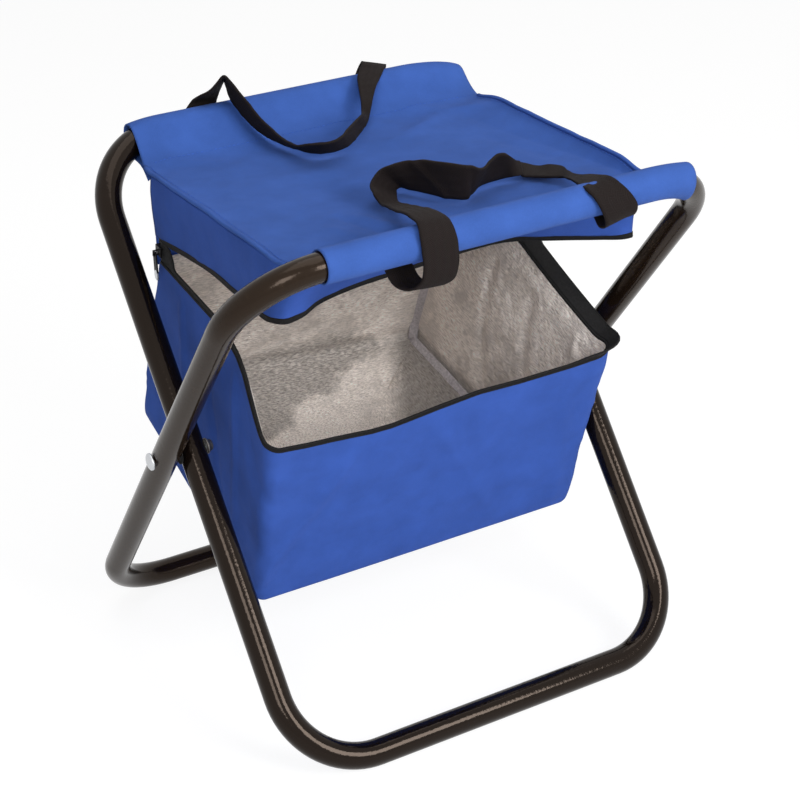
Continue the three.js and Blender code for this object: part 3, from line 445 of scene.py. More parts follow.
def ripple(u, v, seed, octaves=3):
    """Smooth random waves from -1 to 1: seeded lattice values, eased between, halved in height each octave."""
    random = np.random.default_rng(seed)
    total, height = 0.0, 1.0
    for octave in range(octaves):
        lattice = random.uniform(-1, 1, (64, 64))
        x, y = u * 2 ** octave, v * 2 ** octave
        i, j = np.floor(x).astype(int), np.floor(y).astype(int)
        s, t = ease(x - i), ease(y - j)
        corner = lambda a, b: lattice[(i + a) % 64, (j + b) % 64]
        low = corner(0, 0) * (1 - s) + corner(1, 0) * s
        high = corner(0, 1) * (1 - s) + corner(1, 1) * s
        total = total + height * (low * (1 - t) + high * t)
        height *= 0.5
    return total / 1.75


def fold(u, v, start, end, width, height):
    """A ridge along a line in the cloth: a bell curve of the distance from the line, fading at its ends."""
    start, end = np.array(start, float), np.array(end, float)
    run = end - start
    length = np.hypot(*run)
    along = ((u - start[0]) * run[0] + (v - start[1]) * run[1]) / length ** 2
    off = ((u - start[0]) * run[1] - (v - start[1]) * run[0]) / length
    ends = ease(along / 0.25 + 0.5) * ease((1 - along) / 0.25 + 0.5)
    return height * np.exp(-((off / width) ** 2)) * ends


def quads(rows, columns, wrapped):
    """Corner numbers of a grid's quads, and each corner's row and column, which run on past a wrapped edge."""
    i = np.arange(rows - 1)[:, None]
    j = np.arange(columns if wrapped else columns - 1)[None, :]
    i, j = np.broadcast_arrays(i, j)
    corners = [(i, j), (i, j + 1), (i + 1, j + 1), (i + 1, j)]
    faces = np.stack([a * columns + b % columns for a, b in corners], axis=-1).reshape(-1, 4)
    places = np.stack([np.stack([a, b], axis=-1) for a, b in corners], axis=2).reshape(-1, 4, 2)
    return faces, places


def running_length(grid, axis, closed):
    """Length along one axis of a grid, averaged over the other: the running sum of its steps."""
    steps = np.linalg.norm(np.roll(grid, -1, axis) - grid, axis=2).mean(axis=1 - axis)
    return np.concatenate([[0.0], np.cumsum(steps if closed else steps[:-1])])


def make_piece(name, vertices, faces, maps, finish):
    """Puts points, faces and their map into a mesh at the origin. The volume is the sum of the tetrahedra from
    the origin to each face, and where it is negative all faces are turned."""
    vertices = np.asarray(vertices, float) * MM
    volume = 0.0
    for group in faces:
        group = np.asarray(group)
        first = vertices[group[:, 0]]
        for k in range(1, group.shape[1] - 1):
            second, third = vertices[group[:, k]], vertices[group[:, k + 1]]
            volume += np.einsum("ij,ij->i", first, np.cross(second, third)).sum()
    if volume < 0:
        faces = [np.asarray(group)[:, ::-1] for group in faces]
        maps = [np.asarray(group)[:, ::-1] for group in maps]
    mesh = bpy.data.meshes.new(name)
    mesh.from_pydata(vertices.tolist(), [], [face for group in faces for face in np.asarray(group).tolist()])
    layer = mesh.uv_layers.new(name="cloth_map")
    layer.data.foreach_set("uv", np.concatenate([np.asarray(group).reshape(-1) for group in maps]) * MM)
    mesh.polygons.foreach_set("use_smooth", np.ones(len(mesh.polygons), bool))
    mesh.materials.append(finishes[finish])
    mesh.update()
    piece = bpy.data.objects.new(name, mesh)
    bpy.context.scene.collection.objects.link(piece)
    return piece


def grid_normals(grid, wrapped):
    """Unit normals of a grid: the cross product of its differences down and across."""
    down = np.gradient(grid, axis=0)
    across = (np.roll(grid, -1, 1) - np.roll(grid, 1, 1)) if wrapped else np.gradient(grid, axis=1)
    normals = np.cross(down, across)
    return normals / np.maximum(np.linalg.norm(normals, axis=2, keepdims=True), 1e-9)


def skins(name, middle, thickness, finish, wrapped=False, closed_end=False):
    """A sheet: two skins half a thickness either side of a middle grid along its normals, joined round the edges.
    A wrapped grid is a tube. With a closed end its last ring is filled on both skins, as the base of a tub."""
    rows, columns = middle.shape[:2]
    normals = grid_normals(middle, wrapped)
    half = np.asarray(thickness) / 2.0
    half = half[..., None] if half.ndim else half
    count = rows * columns
    vertices = np.concatenate([middle + normals * half, middle - normals * half]).reshape(-1, 3)
    across, along = running_length(middle, 1, wrapped), running_length(middle, 0, False)
    body, places = quads(rows, columns, wrapped)
    uv = np.stack([across[places[..., 1]], along[places[..., 0]]], axis=-1)
    faces, maps = [body, body[:, ::-1] + count], [uv, uv[:, ::-1]]
    last = (rows - 1) * columns
    ring = np.arange(columns + 1) % columns if wrapped else np.arange(columns)
    edges = [ring]
    if closed_end:
        faces += [(last + np.arange(columns))[None, :], (count + last + np.arange(columns)[::-1])[None, :]]
        tip = np.stack([across[:columns], np.full(columns, along[-1])], axis=-1)[None]
        maps += [tip, tip[:, ::-1]]
    else:
        edges.append((last + ring)[::-1])
    if not wrapped:
        edges += [(np.arange(rows) * columns)[::-1], np.arange(rows) * columns + columns - 1]
    for edge in edges:
        strip = np.stack([edge[:-1], edge[:-1] + count, edge[1:] + count, edge[1:]], axis=1)
        faces.append(strip)
        u, v = across[strip % count % columns], along[strip % count // columns]
        maps.append(np.stack([u, v], axis=-1))
    return make_piece(name, vertices, faces, maps, finish)


def carried(name, path, across, shape, finish):
    """A closed outline carried along a path: each of its points lies so far across and so far along the normal.
    The outline may be one for all stations, or one for each. Both ends are capped."""
    path = np.asarray(path, float)
    tangent = np.gradient(path, axis=0)
    tangent /= np.linalg.norm(tangent, axis=1, keepdims=True)
    across = np.asarray(across, float)
    across = across - (across * tangent).sum(1, keepdims=True) * tangent
    across /= np.linalg.norm(across, axis=1, keepdims=True)
    normal = np.cross(tangent, across)
    shape = np.broadcast_to(shape, (len(path), *np.shape(shape)[-2:]))
    rings = path[:, None] + shape[..., :1] * across[:, None] + shape[..., 1:] * normal[:, None]
    rows, columns = rings.shape[:2]
    body, places = quads(rows, columns, True)
    round_it, along = running_length(rings, 1, True), running_length(rings, 0, False)
    uv = np.stack([round_it[places[..., 1]], along[places[..., 0]]], axis=-1)
    caps = [np.arange(columns)[::-1][None], ((rows - 1) * columns + np.arange(columns))[None]]
    tips = [
        np.stack([round_it[:columns][::-1], np.zeros(columns)], axis=-1)[None],
        np.stack([round_it[:columns], np.full(columns, along[-1])], axis=-1)[None],
    ]
    return make_piece(name, rings.reshape(-1, 3), [body, *caps], [uv, *tips], finish)


def oval(width, thickness, points=16, squareness=4.0):
    """A flat oval outline: a superellipse of a width and a thickness."""
    angle = np.arange(points) * 2 * np.pi / points
    power = 2.0 / squareness
    c, s = np.cos(angle), np.sin(angle)
    u = width / 2 * np.sign(c) * np.abs(c) ** power
    v = thickness / 2 * np.sign(s) * np.abs(s) ** power
    return np.stack([u, v], 1)


def smooth_path(points, steps):
    """A curve through points: cubic pieces between them on the running length, each with the slopes of its ends,
    sampled evenly."""
    points = np.asarray(points, float)
    spans = np.maximum(np.linalg.norm(np.diff(points[:, :3], axis=0), axis=1), 1e-6)
    knots = np.concatenate([[0.0], np.cumsum(spans)])
    slopes = np.gradient(points, knots, axis=0)
    at = np.linspace(0, knots[-1], steps)
    k = np.clip(np.searchsorted(knots, at) - 1, 0, len(points) - 2)
    span = (knots[k + 1] - knots[k])[:, None]
    t = ((at - knots[k])[:, None]) / span
    a, b = 2 * t ** 3 - 3 * t ** 2 + 1, t ** 3 - 2 * t ** 2 + t
    c, d = -2 * t ** 3 + 3 * t ** 2, t ** 3 - t ** 2
    return a * points[k] + b * span * slopes[k] + c * points[k + 1] + d * span * slopes[k + 1]


def turned_on_x(name, profile, side, place, finish, sides=40):
    """A lathe form on a line along X, on side -1 or +1: a profile of (radius, distance out) swept round it."""
    profile = np.array(profile, float)
    angle = np.arange(sides) * 2 * np.pi / sides
    radius = np.maximum(profile[:, :1], 0.02)
    grid = np.stack(
        [
            np.broadcast_to(side * profile[:, 1:], (len(profile), sides)),
            place[0] + radius * np.cos(angle),
            place[1] + radius * np.sin(angle),
        ],
        axis=-1,
    )
    body, places = quads(len(profile), sides, True)
    along = running_length(grid, 0, False)
    uv = np.stack([places[..., 1] * 0.5, along[places[..., 0]]], axis=-1)
    caps = [np.arange(sides)[::-1][None], ((len(profile) - 1) * sides + np.arange(sides))[None]]
    tips = [np.zeros((1, sides, 2))] * 2
    return make_piece(name, grid.reshape(-1, 3), [body, *caps], [uv, *tips], finish)


# ---- the two crossed frames

# The top rails in Y and Z, the tubes' radius and wall, and half the gap between a loop's butt ends
RAIL_Y, RAIL_Z = 150.0, 393.0
TUBE, TUBE_WALL, BUTT_GAP = 10.0, 1.2, 0.3

# A leg's rise and run from foot to rail, and the pivot's share of it, above the foot
RISE, RUN = RAIL_Z - TUBE, 305.0
LEG = np.hypot(RISE, RUN)
LOWER_SHARE = 310.0 / 610.0
PIVOT_Z = TUBE + RISE * LOWER_SHARE
BELOW = LEG * LOWER_SHARE
ABOVE = LEG - BELOW

# The bends' radius, half of each frame's width, and the way up each frame's plane
BEND = 60.0
INNER_HALF, OUTER_HALF = 164.8, 186.2
LEAN = {"outer": np.array([0.0, -RUN / LEG, RISE / LEG]), "inner": np.array([0.0, RUN / LEG, RISE / LEG])}


def loop_line(half_width, steps=22):
    """A frame's centre line in its own plane: four quarter circles joined by straights, butt end to butt end."""
    side, high, low = half_width - BEND, ABOVE - BEND, BEND - BELOW
    quarter = np.linspace(0, np.pi / 2, steps)
    arcs = [
        (side, high, np.pi / 2 - quarter),
        (side, low, -quarter),
        (-side, low, -np.pi / 2 - quarter),
        (-side, high, np.pi - quarter),
    ]
    line = [np.stack([x + BEND * np.cos(a), s + BEND * np.sin(a)], axis=1) for x, s, a in arcs]
    return np.concatenate([[[BUTT_GAP, ABOVE]], *line, [[-BUTT_GAP, ABOVE]]])


def bend_tube(name, which, half_width, finish, node):
    """Steel tube: a circle carried along the frame's line, as two skins a wall apart."""
    line = loop_line(half_width)
    along = np.gradient(line, axis=0)
    along /= np.linalg.norm(along, axis=1, keepdims=True)
    lean = LEAN[which]
    flat = np.cross([1.0, 0.0, 0.0], lean)
    in_plane = np.stack([-along[:, 1], along[:, 0]], axis=1)
    angle = np.arange(48) * 2 * np.pi / 48
    radius = TUBE - TUBE_WALL / 2
    x = line[:, :1] + radius * np.cos(angle) * in_plane[:, :1]
    s = line[:, 1:] + radius * np.cos(angle) * in_plane[:, 1:]
    grid = x[..., None] * np.array([1.0, 0, 0]) + s[..., None] * lean
    grid = grid + (radius * np.sin(angle))[None, :, None] * flat
    tube = skins(name, grid + [0, 0, PIVOT_Z], TUBE_WALL, finish, wrapped=True)
    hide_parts(node)
    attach(tube, which + "_frame")


bend_tube("outer_leg_loop", "outer", OUTER_HALF, "outer_tube", "outer_frame_tube")
bend_tube("inner_leg_loop", "inner", INNER_HALF, "inner_tube", "inner_frame_tube")

# Rivet, washer and cap nut of each pivot, as profiles of (radius, distance from the middle)
for side_name, side in (("left", -1), ("right", 1)):
    centre = (0.0, PIVOT_Z)
    head = OUTER_HALF + 10.6
    bow = np.linspace(0, np.pi / 2, 9)
    dome = [(6.5 * np.cos(a) ** 0.8, head + 1.0 + 2.0 * np.sin(a)) for a in bow]
    rivet = turned_on_x(
        "rivet_" + side_name,
        [(0.02, 150.5), (2.9, 150.5), (3.0, 151.0), (3.0, head), (6.3, head), (6.5, head + 0.3), *dome],
        side, centre, "steel",
    )
    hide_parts("pivot_rivet_" + side_name)
    washer = turned_on_x(
        "spacer_" + side_name,
        [(3.3, 175.3), (7.8, 175.3), (8.0, 175.4), (8.0, 175.6), (7.8, 175.7), (3.3, 175.7), (3.3, 175.3)],
        side, centre, "nylon",
    )
    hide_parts("pivot_spacer_" + side_name)
    cap = [(4.2 * np.sin(a) ** 0.9, 150.2 - 1.6 * np.cos(a)) for a in bow]
    nut = turned_on_x(
        "cap_nut_" + side_name,
        [*cap, (4.4, 152.6), (5.8, 152.8), (6.0, 153.1), (6.0, 154.2), (3.3, 154.2), (3.3, 150.9),
         (0.02, 150.9)],
        side, centre, "zinc",
    )
    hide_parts("pivot_nut_" + side_name)
    for turned_piece in (rivet, washer, nut):
        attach(turned_piece, "outer_frame")


# ---- seat cover: one cloth that runs round both top rails

# The seat's height, half of its level part's depth, the cloth's radius round a rail and the seat's side edges
SEAT_Z = 380.3
LEVEL = 95.0
WRAP = 11.3
COVER_LEFT, COVER_RIGHT = -139.0, 153.0


def rail_drop(x, straight):
    """How far a rail has come down its own plane where it bends: a circle's fall past the straight's end."""
    past = np.clip(np.abs(x) - straight, 0, BEND - 0.5)
    return BEND - np.sqrt(BEND ** 2 - past ** 2)


def half_cover(tail_steps=7, arc_steps=34, slope_steps=16):
    """From the seam under the seat, round the rail and down to the level: a line, an arc and a cubic curve.
    Gives the distance from the middle, the height, and how far each place has turned round the rail."""
    turn = np.radians(np.linspace(190, -45, arc_steps))
    arc = np.stack([RAIL_Y + WRAP * np.sin(turn), RAIL_Z + WRAP * np.cos(turn)], axis=1)
    share = np.linspace(0, 1, tail_steps)[:-1, None]
    tail = np.array([113.0, 379.3]) * (1 - share) + arc[0] * share
    t = np.linspace(0, 1, slope_steps)[1:, None]
    start, end = arc[-1], np.array([LEVEL, SEAT_Z])
    slope = (1 - t) ** 3 * start + 3 * (1 - t) ** 2 * t * (start - 14)
    slope = slope + 3 * (1 - t) * t ** 2 * (end + [23, 0]) + t ** 3 * end
    turned = np.concatenate([np.full(len(tail), turn[0]), turn, np.full(len(slope), turn[-1])])
    fade = np.concatenate([np.ones(len(tail) + len(turn)), 1 - ease(t[:, 0])])
    return np.concatenate([tail, arc, slope]), turned, fade


# Creases of the seat: from one place in X and Y to another, with a width and a height
SEAT_CREASES = [
    ((-60, -118), (-20, -92), 5.0, 1.6), ((-40, -120), (10, -104), 4.0, 1.3), ((40, -116), (75, -98), 5.0, -1.0),
    ((-120, -112), (-70, -98), 5.0, 1.0), ((100, -118), (140, -96), 6.0, 1.2), ((20, 112), (70, 96), 6.0, 0.9),
    ((-120, 114), (-80, 92), 6.0, 1.0), ((90, 116), (140, 84), 7.0, 1.6), ((100, -60), (140, -92), 8.0, 1.0),
    ((-64, -48), (-46, -112), 4.5, -1.5), ((-52, -52), (-33, -110), 4.5, 1.3),
    ((-78, -62), (-62, -110), 5.0, 1.1), ((-20, -66), (-14, -108), 5.0, -1.0),
    ((112, 30), (126, -40), 7.0, -1.0), ((40, 60), (110, 96), 7.0, 1.2),
]


def cover_grid(columns=150, level_steps=64):
    """The cover's middle surface. Across it runs a share from the left edge to the right, and along it the
    profile from the seam behind the front rail to the seam before the rear one. Past a rail's straight the
    underside follows the bend and the crown only part of it. The level sags by a sine and its side edges are
    drawn up."""
    half, turned, fade = half_cover()
    middle = np.linspace(-LEVEL, LEVEL, level_steps)[1:-1]
    count = len(half)
    y = np.concatenate([-half[:, 0], middle, half[::-1, 0]])
    z = np.concatenate([half[:, 1], np.full(len(middle), SEAT_Z), half[::-1, 1]])
    turn = np.concatenate([turned, np.full(len(middle), -np.pi / 4), turned[::-1]])
    hold = np.concatenate([fade, np.zeros(len(middle)), fade[::-1]])
    rear = np.arange(len(y)) >= count + len(middle) // 2
    under = np.where(turn > 0, (1 - np.cos(turn)) / 2, 0.0)
    out = ease((np.abs(y) - LEVEL) / 47.0)
    left = COVER_LEFT + 8.0 * out
    right = np.where(rear, COVER_RIGHT + 6.0 * out - 20.0 * ease(under * 1.2), COVER_RIGHT + 7.0 * out)
    share = np.linspace(0, 1, columns)
    x = left[:, None] * (1 - share) + right[:, None] * share
    drop = np.where(rear[:, None], rail_drop(x, INNER_HALF - BEND), rail_drop(x, OUTER_HALF - BEND))
    crown = np.where(rear[:, None], np.where(x > 0, 0.3, 0.5), 0.3)
    follow = crown * hold[:, None] + (1 - crown) * under[:, None]
    lean = LEAN["inner"][1]
    y = y[:, None] + np.where(rear[:, None], -lean, lean) * drop * under[:, None]
    z = z[:, None] - LEAN["inner"][2] * drop * follow
    level = np.clip(1 - np.abs(y) / 118.0, 0, 1)
    sag = np.sin(np.pi * level / 2) ** 0.8 * np.sin(np.pi * share) ** 0.5
    z = z - 3.2 * sag
    flat = ease((118.0 - np.abs(y)) / 40.0)
    fold_x = np.interp(y, [-104, -35, 33, 102], [149.0, 139.5, 128.0, 118.0])
    upturned = np.clip((x - fold_x) / (right[:, None] - fold_x), 0, 1)
    z = z + flat * (7.0 * upturned + 1.5 * np.exp(-(((x - left[:, None]) / 7.0) ** 2)))
    soft = ease((128.0 - np.abs(y)) / 30.0)
    z = z + soft * 0.9 * ripple((x + 200) / 55.0, (y + 200) / 34.0, 11)
    for start, end, width, height in SEAT_CREASES:
        z = z + fold(x, y, start, end, width, height)
    return np.stack([x, y, z], axis=2)


def blended(piece):
    """Cloth that runs from one rail to the other: its place is baked into its mesh."""
    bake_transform(piece)


cover = cover_grid()
seat_cover = skins("seat_cover", cover, 1.1, "seat")
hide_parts("seat_panel", "front_sleeve", "rear_sleeve")
blended(seat_cover)

# The rows of the cover whose left end lies between the sleeves' seams
EDGE = np.abs(cover[:, 0, 1]) < 112


def seat_edge(column, inset, below):
    """The line of the seat's side edge between the rails: a column of the cover, moved in and down."""
    line = cover[EDGE & (cover[:, 0, 2] > 377), column]
    return line + [inset, 0, -below]


def stitches(name, line, up, finish="thread", pitch=3.8, length=2.7, width=0.9):
    """Sewn thread: short beads spaced along a line. Each is an ellipse swept round its length, half sunk."""
    line, up = np.asarray(line, float), np.broadcast_to(up, np.shape(line))
    run = np.concatenate([[0.0], np.cumsum(np.linalg.norm(np.diff(line, axis=0), axis=1))])
    at = np.arange(pitch, run[-1] - pitch / 2, pitch)
    spot = lambda place, of: np.stack([np.interp(place, run, of[:, k]) for k in range(3)], axis=1)
    middle, upright = spot(at, line), spot(at, up)
    along = spot(at + 0.6, line) - spot(at - 0.6, line)
    along /= np.linalg.norm(along, axis=1, keepdims=True)
    side_on = np.cross(upright, along)
    side_on /= np.linalg.norm(side_on, axis=1, keepdims=True)
    share = np.linspace(-0.97, 0.97, 6)
    radius = width / 2 * np.sqrt(1 - share ** 2)
    angle = np.arange(6) * np.pi / 3
    bead = (
        middle[:, None, None]
        + (share * length / 2)[None, :, None, None] * along[:, None, None]
        + (radius[:, None] * np.cos(angle))[None, ..., None] * side_on[:, None, None]
        + (radius[:, None] * np.sin(angle) * 0.7)[None, ..., None] * upright[:, None, None]
    )
    body, places = quads(6, 6, True)
    first = np.arange(len(at))[:, None, None] * 36
    faces = [(body[None] + first).reshape(-1, 4), (np.arange(6)[::-1] + first).reshape(-1, 6),
             (np.arange(30, 36) + first).reshape(-1, 6)]
    body_map = np.broadcast_to(places[None] * [0.4, 0.5], (len(at), *places.shape)).reshape(-1, 4, 2)
    return make_piece(name, bead.reshape(-1, 3), faces, [body_map, *[np.zeros((len(at), 6, 2))] * 2], finish)


for side_name, column, out in (("left", 0, -1.0), ("right", -1, 1.0)):
    line = seat_edge(column, out * -0.9, -0.8)
    across_seat = np.tile([1.0, 0, 0], (len(line), 1))
    welt = carried("seat_welt_cord_" + side_name, line, across_seat, oval(3.4, 3.0, 14, 2.0), "seat")
    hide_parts("seat_welt_" + side_name)
    blended(welt)
    sewn = stitches("seat_edge_stitches_" + side_name, seat_edge(column, out * -5.2, -0.6), [0.0, 0.0, 1.0])
    blended(sewn)

# The sleeves' seams: the row of the cover's upper side nearest to the seam, away from the turned-in tail
MIDDLE = cover.shape[1] // 2
cover_up = grid_normals(cover, False)
cover_up *= np.sign(cover_up[len(cover) // 2, MIDDLE, 2])
for end_name, seam_y in (("front", -114.5), ("rear", 114.5)):
    turned_in = (cover[:, MIDDLE, 2] < SEAT_Z - 3) * 1.0 + (cover_up[:, MIDDLE, 2] < 0.4)
    row = int(np.argmin(np.abs(cover[:, MIDDLE, 1] - seam_y) + 50.0 * turned_in))
    seam_up = cover_up[row, 3:-3]
    blended(stitches("sleeve_stitches_" + end_name, cover[row, 3:-3] + seam_up * 0.6, seam_up))


# Rows at either end of the cover that lie under the rails
TAIL_ROWS = 12


def cover_height(x, y):
    """Height of the cover's middle surface at a place between the rails, read off its grid: straight
    interpolation along the middle column and across, over the rows that belong to the upper side."""
    number = np.arange(len(cover))
    keep = (np.abs(cover[:, MIDDLE, 1]) < 125) & (cover[:, MIDDLE, 2] > SEAT_Z - 6)
    keep &= (number > TAIL_ROWS) & (number < len(cover) - TAIL_ROWS)
    rows = cover[keep]
    rows = rows[np.argsort(rows[:, MIDDLE, 1])]
    run = rows[:, MIDDLE, 1]
    row = np.clip(np.searchsorted(run, y), 1, len(rows) - 1)
    share = np.clip((y - run[row - 1]) / (run[row] - run[row - 1]), 0, 1)
    across = np.clip((x - COVER_LEFT) / (COVER_RIGHT - COVER_LEFT), 0, 1) * (cover.shape[1] - 1)
    column = np.clip(across.astype(int), 0, cover.shape[1] - 2)
    part = across - column
    height = lambda r: rows[r, column, 2] * (1 - part) + rows[r, column + 1, 2] * part
    return height(row - 1) * (1 - share) + height(row) * share


# ---- skirt: four sewn panels that hang from the edges of the seat

# Places of the hem and of the seam above it, in X, Y and Z, read from the photograph: along the left side to the
# front, round the corner, across the front and back along the right side
HEM_LEFT = [(-137.5, 98, 332.5), (-136.8, 70, 334), (-136, 45, 335.5), (-135.8, 9, 337.5),
            (-135.8, -35, 335)]
HEM_CORNER = [(-136.8, -66, 334.5), (-135.5, -83, 334), (-129, -91, 334)]
HEM_FRONT = [(-118, -89, 334), (-95, -75, 334), (-65, -65.5, 334), (-31, -60.5, 334), (10, -56, 334),
             (45, -52, 334), (70, -53, 334), (83, -58, 334), (97, -67, 334), (112, -76, 334), (131, -88, 334)]
HEM_RIGHT = [(147, -98, 334.5), (151.5, -98, 334.5), (152.5, -85, 333), (152, -59, 327), (151.8, -30, 318.5),
             (151.5, -5, 310), (151.3, 20, 303.5), (151, 40, 301), (150.8, 60, 304), (150.5, 80, 311),
             (150.4, 98.5, 315.5)]
TOP_LEFT = [(-137.5, 98), (-138, 70), (-138, 45), (-138, 9), (-138, -35)]
TOP_CORNER = [(-138, -74), (-137, -97), (-131, -108)]
TOP_FRONT = [(x, -110.5) for x in (-118, -95, -65, -31, 10, 45, 70, 83, 97, 112, 131)]
TOP_RIGHT = [(150, -109), *[(152.5, y) for y in (-100, -85, -59, -30, -5, 20, 40, 60, 80)], (150.6, 98.5)]


def skirt_grid(steps=230, rows=34):
    """Straight lines from the seat's edge down to the hem, bowed out by a sine and rippled below the seam."""
    hem_points = np.array(HEM_LEFT + HEM_CORNER + HEM_FRONT + HEM_RIGHT, float)
    hem = smooth_path(hem_points, steps)
    top = np.array(TOP_LEFT + TOP_CORNER + TOP_FRONT + TOP_RIGHT, float)
    knots = np.concatenate([[0.0], np.cumsum(np.linalg.norm(np.diff(hem_points, axis=0), axis=1))])
    at = np.linspace(0, knots[-1], steps)
    top = np.stack([np.interp(at, knots, top[:, 0]), np.interp(at, knots, top[:, 1])], axis=1)
    top_z = cover_height(top[:, 0], top[:, 1]) - 1.4
    top = np.concatenate([top, top_z[:, None]], axis=1)
    down = np.linspace(0, 1, rows)[:, None, None]
    grid = top * (1 - down) + hem * down
    tangent = np.gradient(hem, axis=0)
    outward = np.stack([tangent[:, 1], -tangent[:, 0], np.zeros(steps)], axis=1)
    outward /= np.linalg.norm(outward, axis=1, keepdims=True)
    u, v = at[None, :] / 42.0, (down[:, :, 0] * 60.0) / 30.0
    wave = 1.1 * ripple(u + 3.0, v + 5.0, 21) + 0.5 * ripple(u * 2.4, v * 1.2 + 9.0, 22)
    bow = 1.1 * np.sin(np.pi * down[:, :, 0]) + wave * ease(down[:, :, 0] / 0.3)
    return grid + outward * bow[..., None], hem, outward


skirt_surface, hem_line, hem_outward = skirt_grid()
skirt = skins("skirt_band", skirt_surface, 1.1, "bag")
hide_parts("skirt_left", "skirt_front", "skirt_right")
blended(skirt)

# The bag's rear seam, in Y and Z, and its rear wall: how far it leans out and how long it is
HINGE = np.array([98.0, 315.0])
REAR_LEAN, REAR_HEIGHT = np.radians(22.8), 165.7

# The rear panel hangs straight down to the seam and then leans with the bag's rear wall
BACK_LEFT, BACK_RIGHT, BACK_HEM = -137.8, 151.0, 308.0
rear_x, rear_down = np.meshgrid(np.linspace(BACK_LEFT, BACK_RIGHT, 90), np.linspace(0, 1, 20))
rear_top = cover_height(rear_x, np.full_like(rear_x, HINGE[0])) - 1.4
rear_y = HINGE[0] + 0.8 * ripple((rear_x + 200) / 50.0, rear_down * 1.5 + 3.0, 31)
rear_z = rear_top * (1 - rear_down) + BACK_HEM * rear_down
below_hinge = np.clip(HINGE[1] - rear_z, 0, None)
rear_y = np.where(rear_z < HINGE[1] + 3.0, HINGE[0] + 0.9 + np.tan(REAR_LEAN) * below_hinge, rear_y)
skirt_back = skins("skirt_back", np.stack([rear_x, rear_y, rear_z], axis=2), 1.1, "bag")
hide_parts("skirt_rear")
blended(skirt_back)

# ---- zip along the hem

# The zip's tape runs from the rear left of the hem to where its lowest point lies on the right side
TAPE_START = 2
TAPE_END = int(np.argmax((hem_line[:, 0] > 145) & (hem_line[:, 1] > 30)))


def hem_tape(name, height, thickness, lower, finish):
    """A band along the hem: a flat oval carried along the hem line, a little outside it and lowered."""
    line = hem_line[TAPE_START:TAPE_END] + hem_outward[TAPE_START:TAPE_END] * 0.2 - [0, 0, lower]
    return carried(name, line, np.tile([0.0, 0, 1.0], (len(line), 1)), oval(height, thickness, 10, 5.0), finish)


upper_tape = hem_tape("upper_zip_band", 3.4, 1.5, 0.9, "zip")
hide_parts("upper_zip_tape")
blended(upper_tape)
blended(hem_tape("upper_zip_coil", 1.2, 1.8, 2.9, "teeth"))


# ---- foam and foil under the seat

# Left, right, front and rear
LID_EDGES = (-133, 147, -92, 93)


def lid_layer(name, below, thickness, finish, node):
    """A rectangle inside the skirt, a depth below the seat and sagging with it. The thin foil is rippled too."""
    left, right, front, rear = LID_EDGES
    x, y = np.meshgrid(np.linspace(left, right, 70), np.linspace(front, rear, 50))
    z = cover_height(x, y) - below - 0.6
    edge = np.minimum(np.minimum(x - left, right - x), np.minimum(y - front, rear - y))
    z = z - 0.8 * ripple((x + 200) / 30.0, (y + 200) / 30.0, 41) * ease(edge / 12.0) * (thickness < 2)
    z = np.minimum(z, cover_height(x, y) - below)
    layer = skins(name, np.stack([x, y, z], axis=2), thickness, finish)
    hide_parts(node)
    blended(layer)
    return layer


lid_pad = lid_layer("lid_foam_pad", 3.2, 3.6, "foam", "lid_foam")
lid_foil = lid_layer("lid_foil_lining", 6.6, 0.7, "foil", "lid_lining")


# ---- the cooler bag

# Side view: the rim's slope and depth, and how far the front wall leans and how long it is
RIM_SLOPE, RIM_DEPTH = np.radians(29.55), 196.9
FRONT_LEAN, FRONT_HEIGHT = np.radians(14.9), 141.0
RIM_FRONT = HINGE - RIM_DEPTH * np.array([np.cos(RIM_SLOPE), np.sin(RIM_SLOPE)])
BASE_REAR = HINGE + REAR_HEIGHT * np.array([np.sin(REAR_LEAN), -np.cos(REAR_LEAN)])
BASE_FRONT = RIM_FRONT + FRONT_HEIGHT * np.array([np.sin(FRONT_LEAN), -np.cos(FRONT_LEAN)])
WALL = (REAR_HEIGHT + FRONT_HEIGHT) / 2
BAG_LEFT, BAG_RIGHT = 139.0, 146.0
BAG_MIDDLE = np.array([5.0, 30.0, 200.0])
CORNER, LEFT_CORNER, REAR_CORNER = 20.0, 11.0, 8.0
FOOT, LINING_FOOT = 5.0, 9.0

# Stations round the bag, along each side and round each corner, and rows down the wall
SIDE_STATIONS, CORNER_STATIONS = 84, 7
SIDE_AND_CORNER = SIDE_STATIONS + CORNER_STATIONS
WALL_ROWS, LINING_ROWS = 56, 70

# Below the rim, the depth over which the binding pinches the three layers together
PINCHED = 14.0
# The rim's rise: on the left as a share of its highest, from rear to front, and at the front in mm, from left
# to right
LEFT_RIM_RISE = 46.0
LEFT_RIM = [(0, 0), (0.57, 0.9), (0.65, 0.97), (0.72, 1), (0.77, 0.99), (0.82, 0.86), (0.86, 0.58), (0.9, 0.3),
            (0.93, 0.13), (0.96, 0.04), (1, 0)]
FRONT_RIM = [(0, 8), (0.06, 6.5), (0.11, 5), (0.17, 4), (0.23, 2.6), (0.29, 1), (0.35, 0.9), (0.4, 2.2),
             (0.48, 4.6), (0.6, 7.6), (0.71, 6.6), (0.86, 7), (1, 9)]
RIGHT_FLARE, REAR_PINCH = 18.0, 29.0


def bag_depth(down):
    """The rear wall's and the front wall's places at a share of the way down, and how far apart they are."""
    rear = HINGE * (1 - down[..., None]) + BASE_REAR * down[..., None]
    front = RIM_FRONT * (1 - down[..., None]) + BASE_FRONT * down[..., None]
    return rear, front, np.linalg.norm(front - rear, axis=-1)


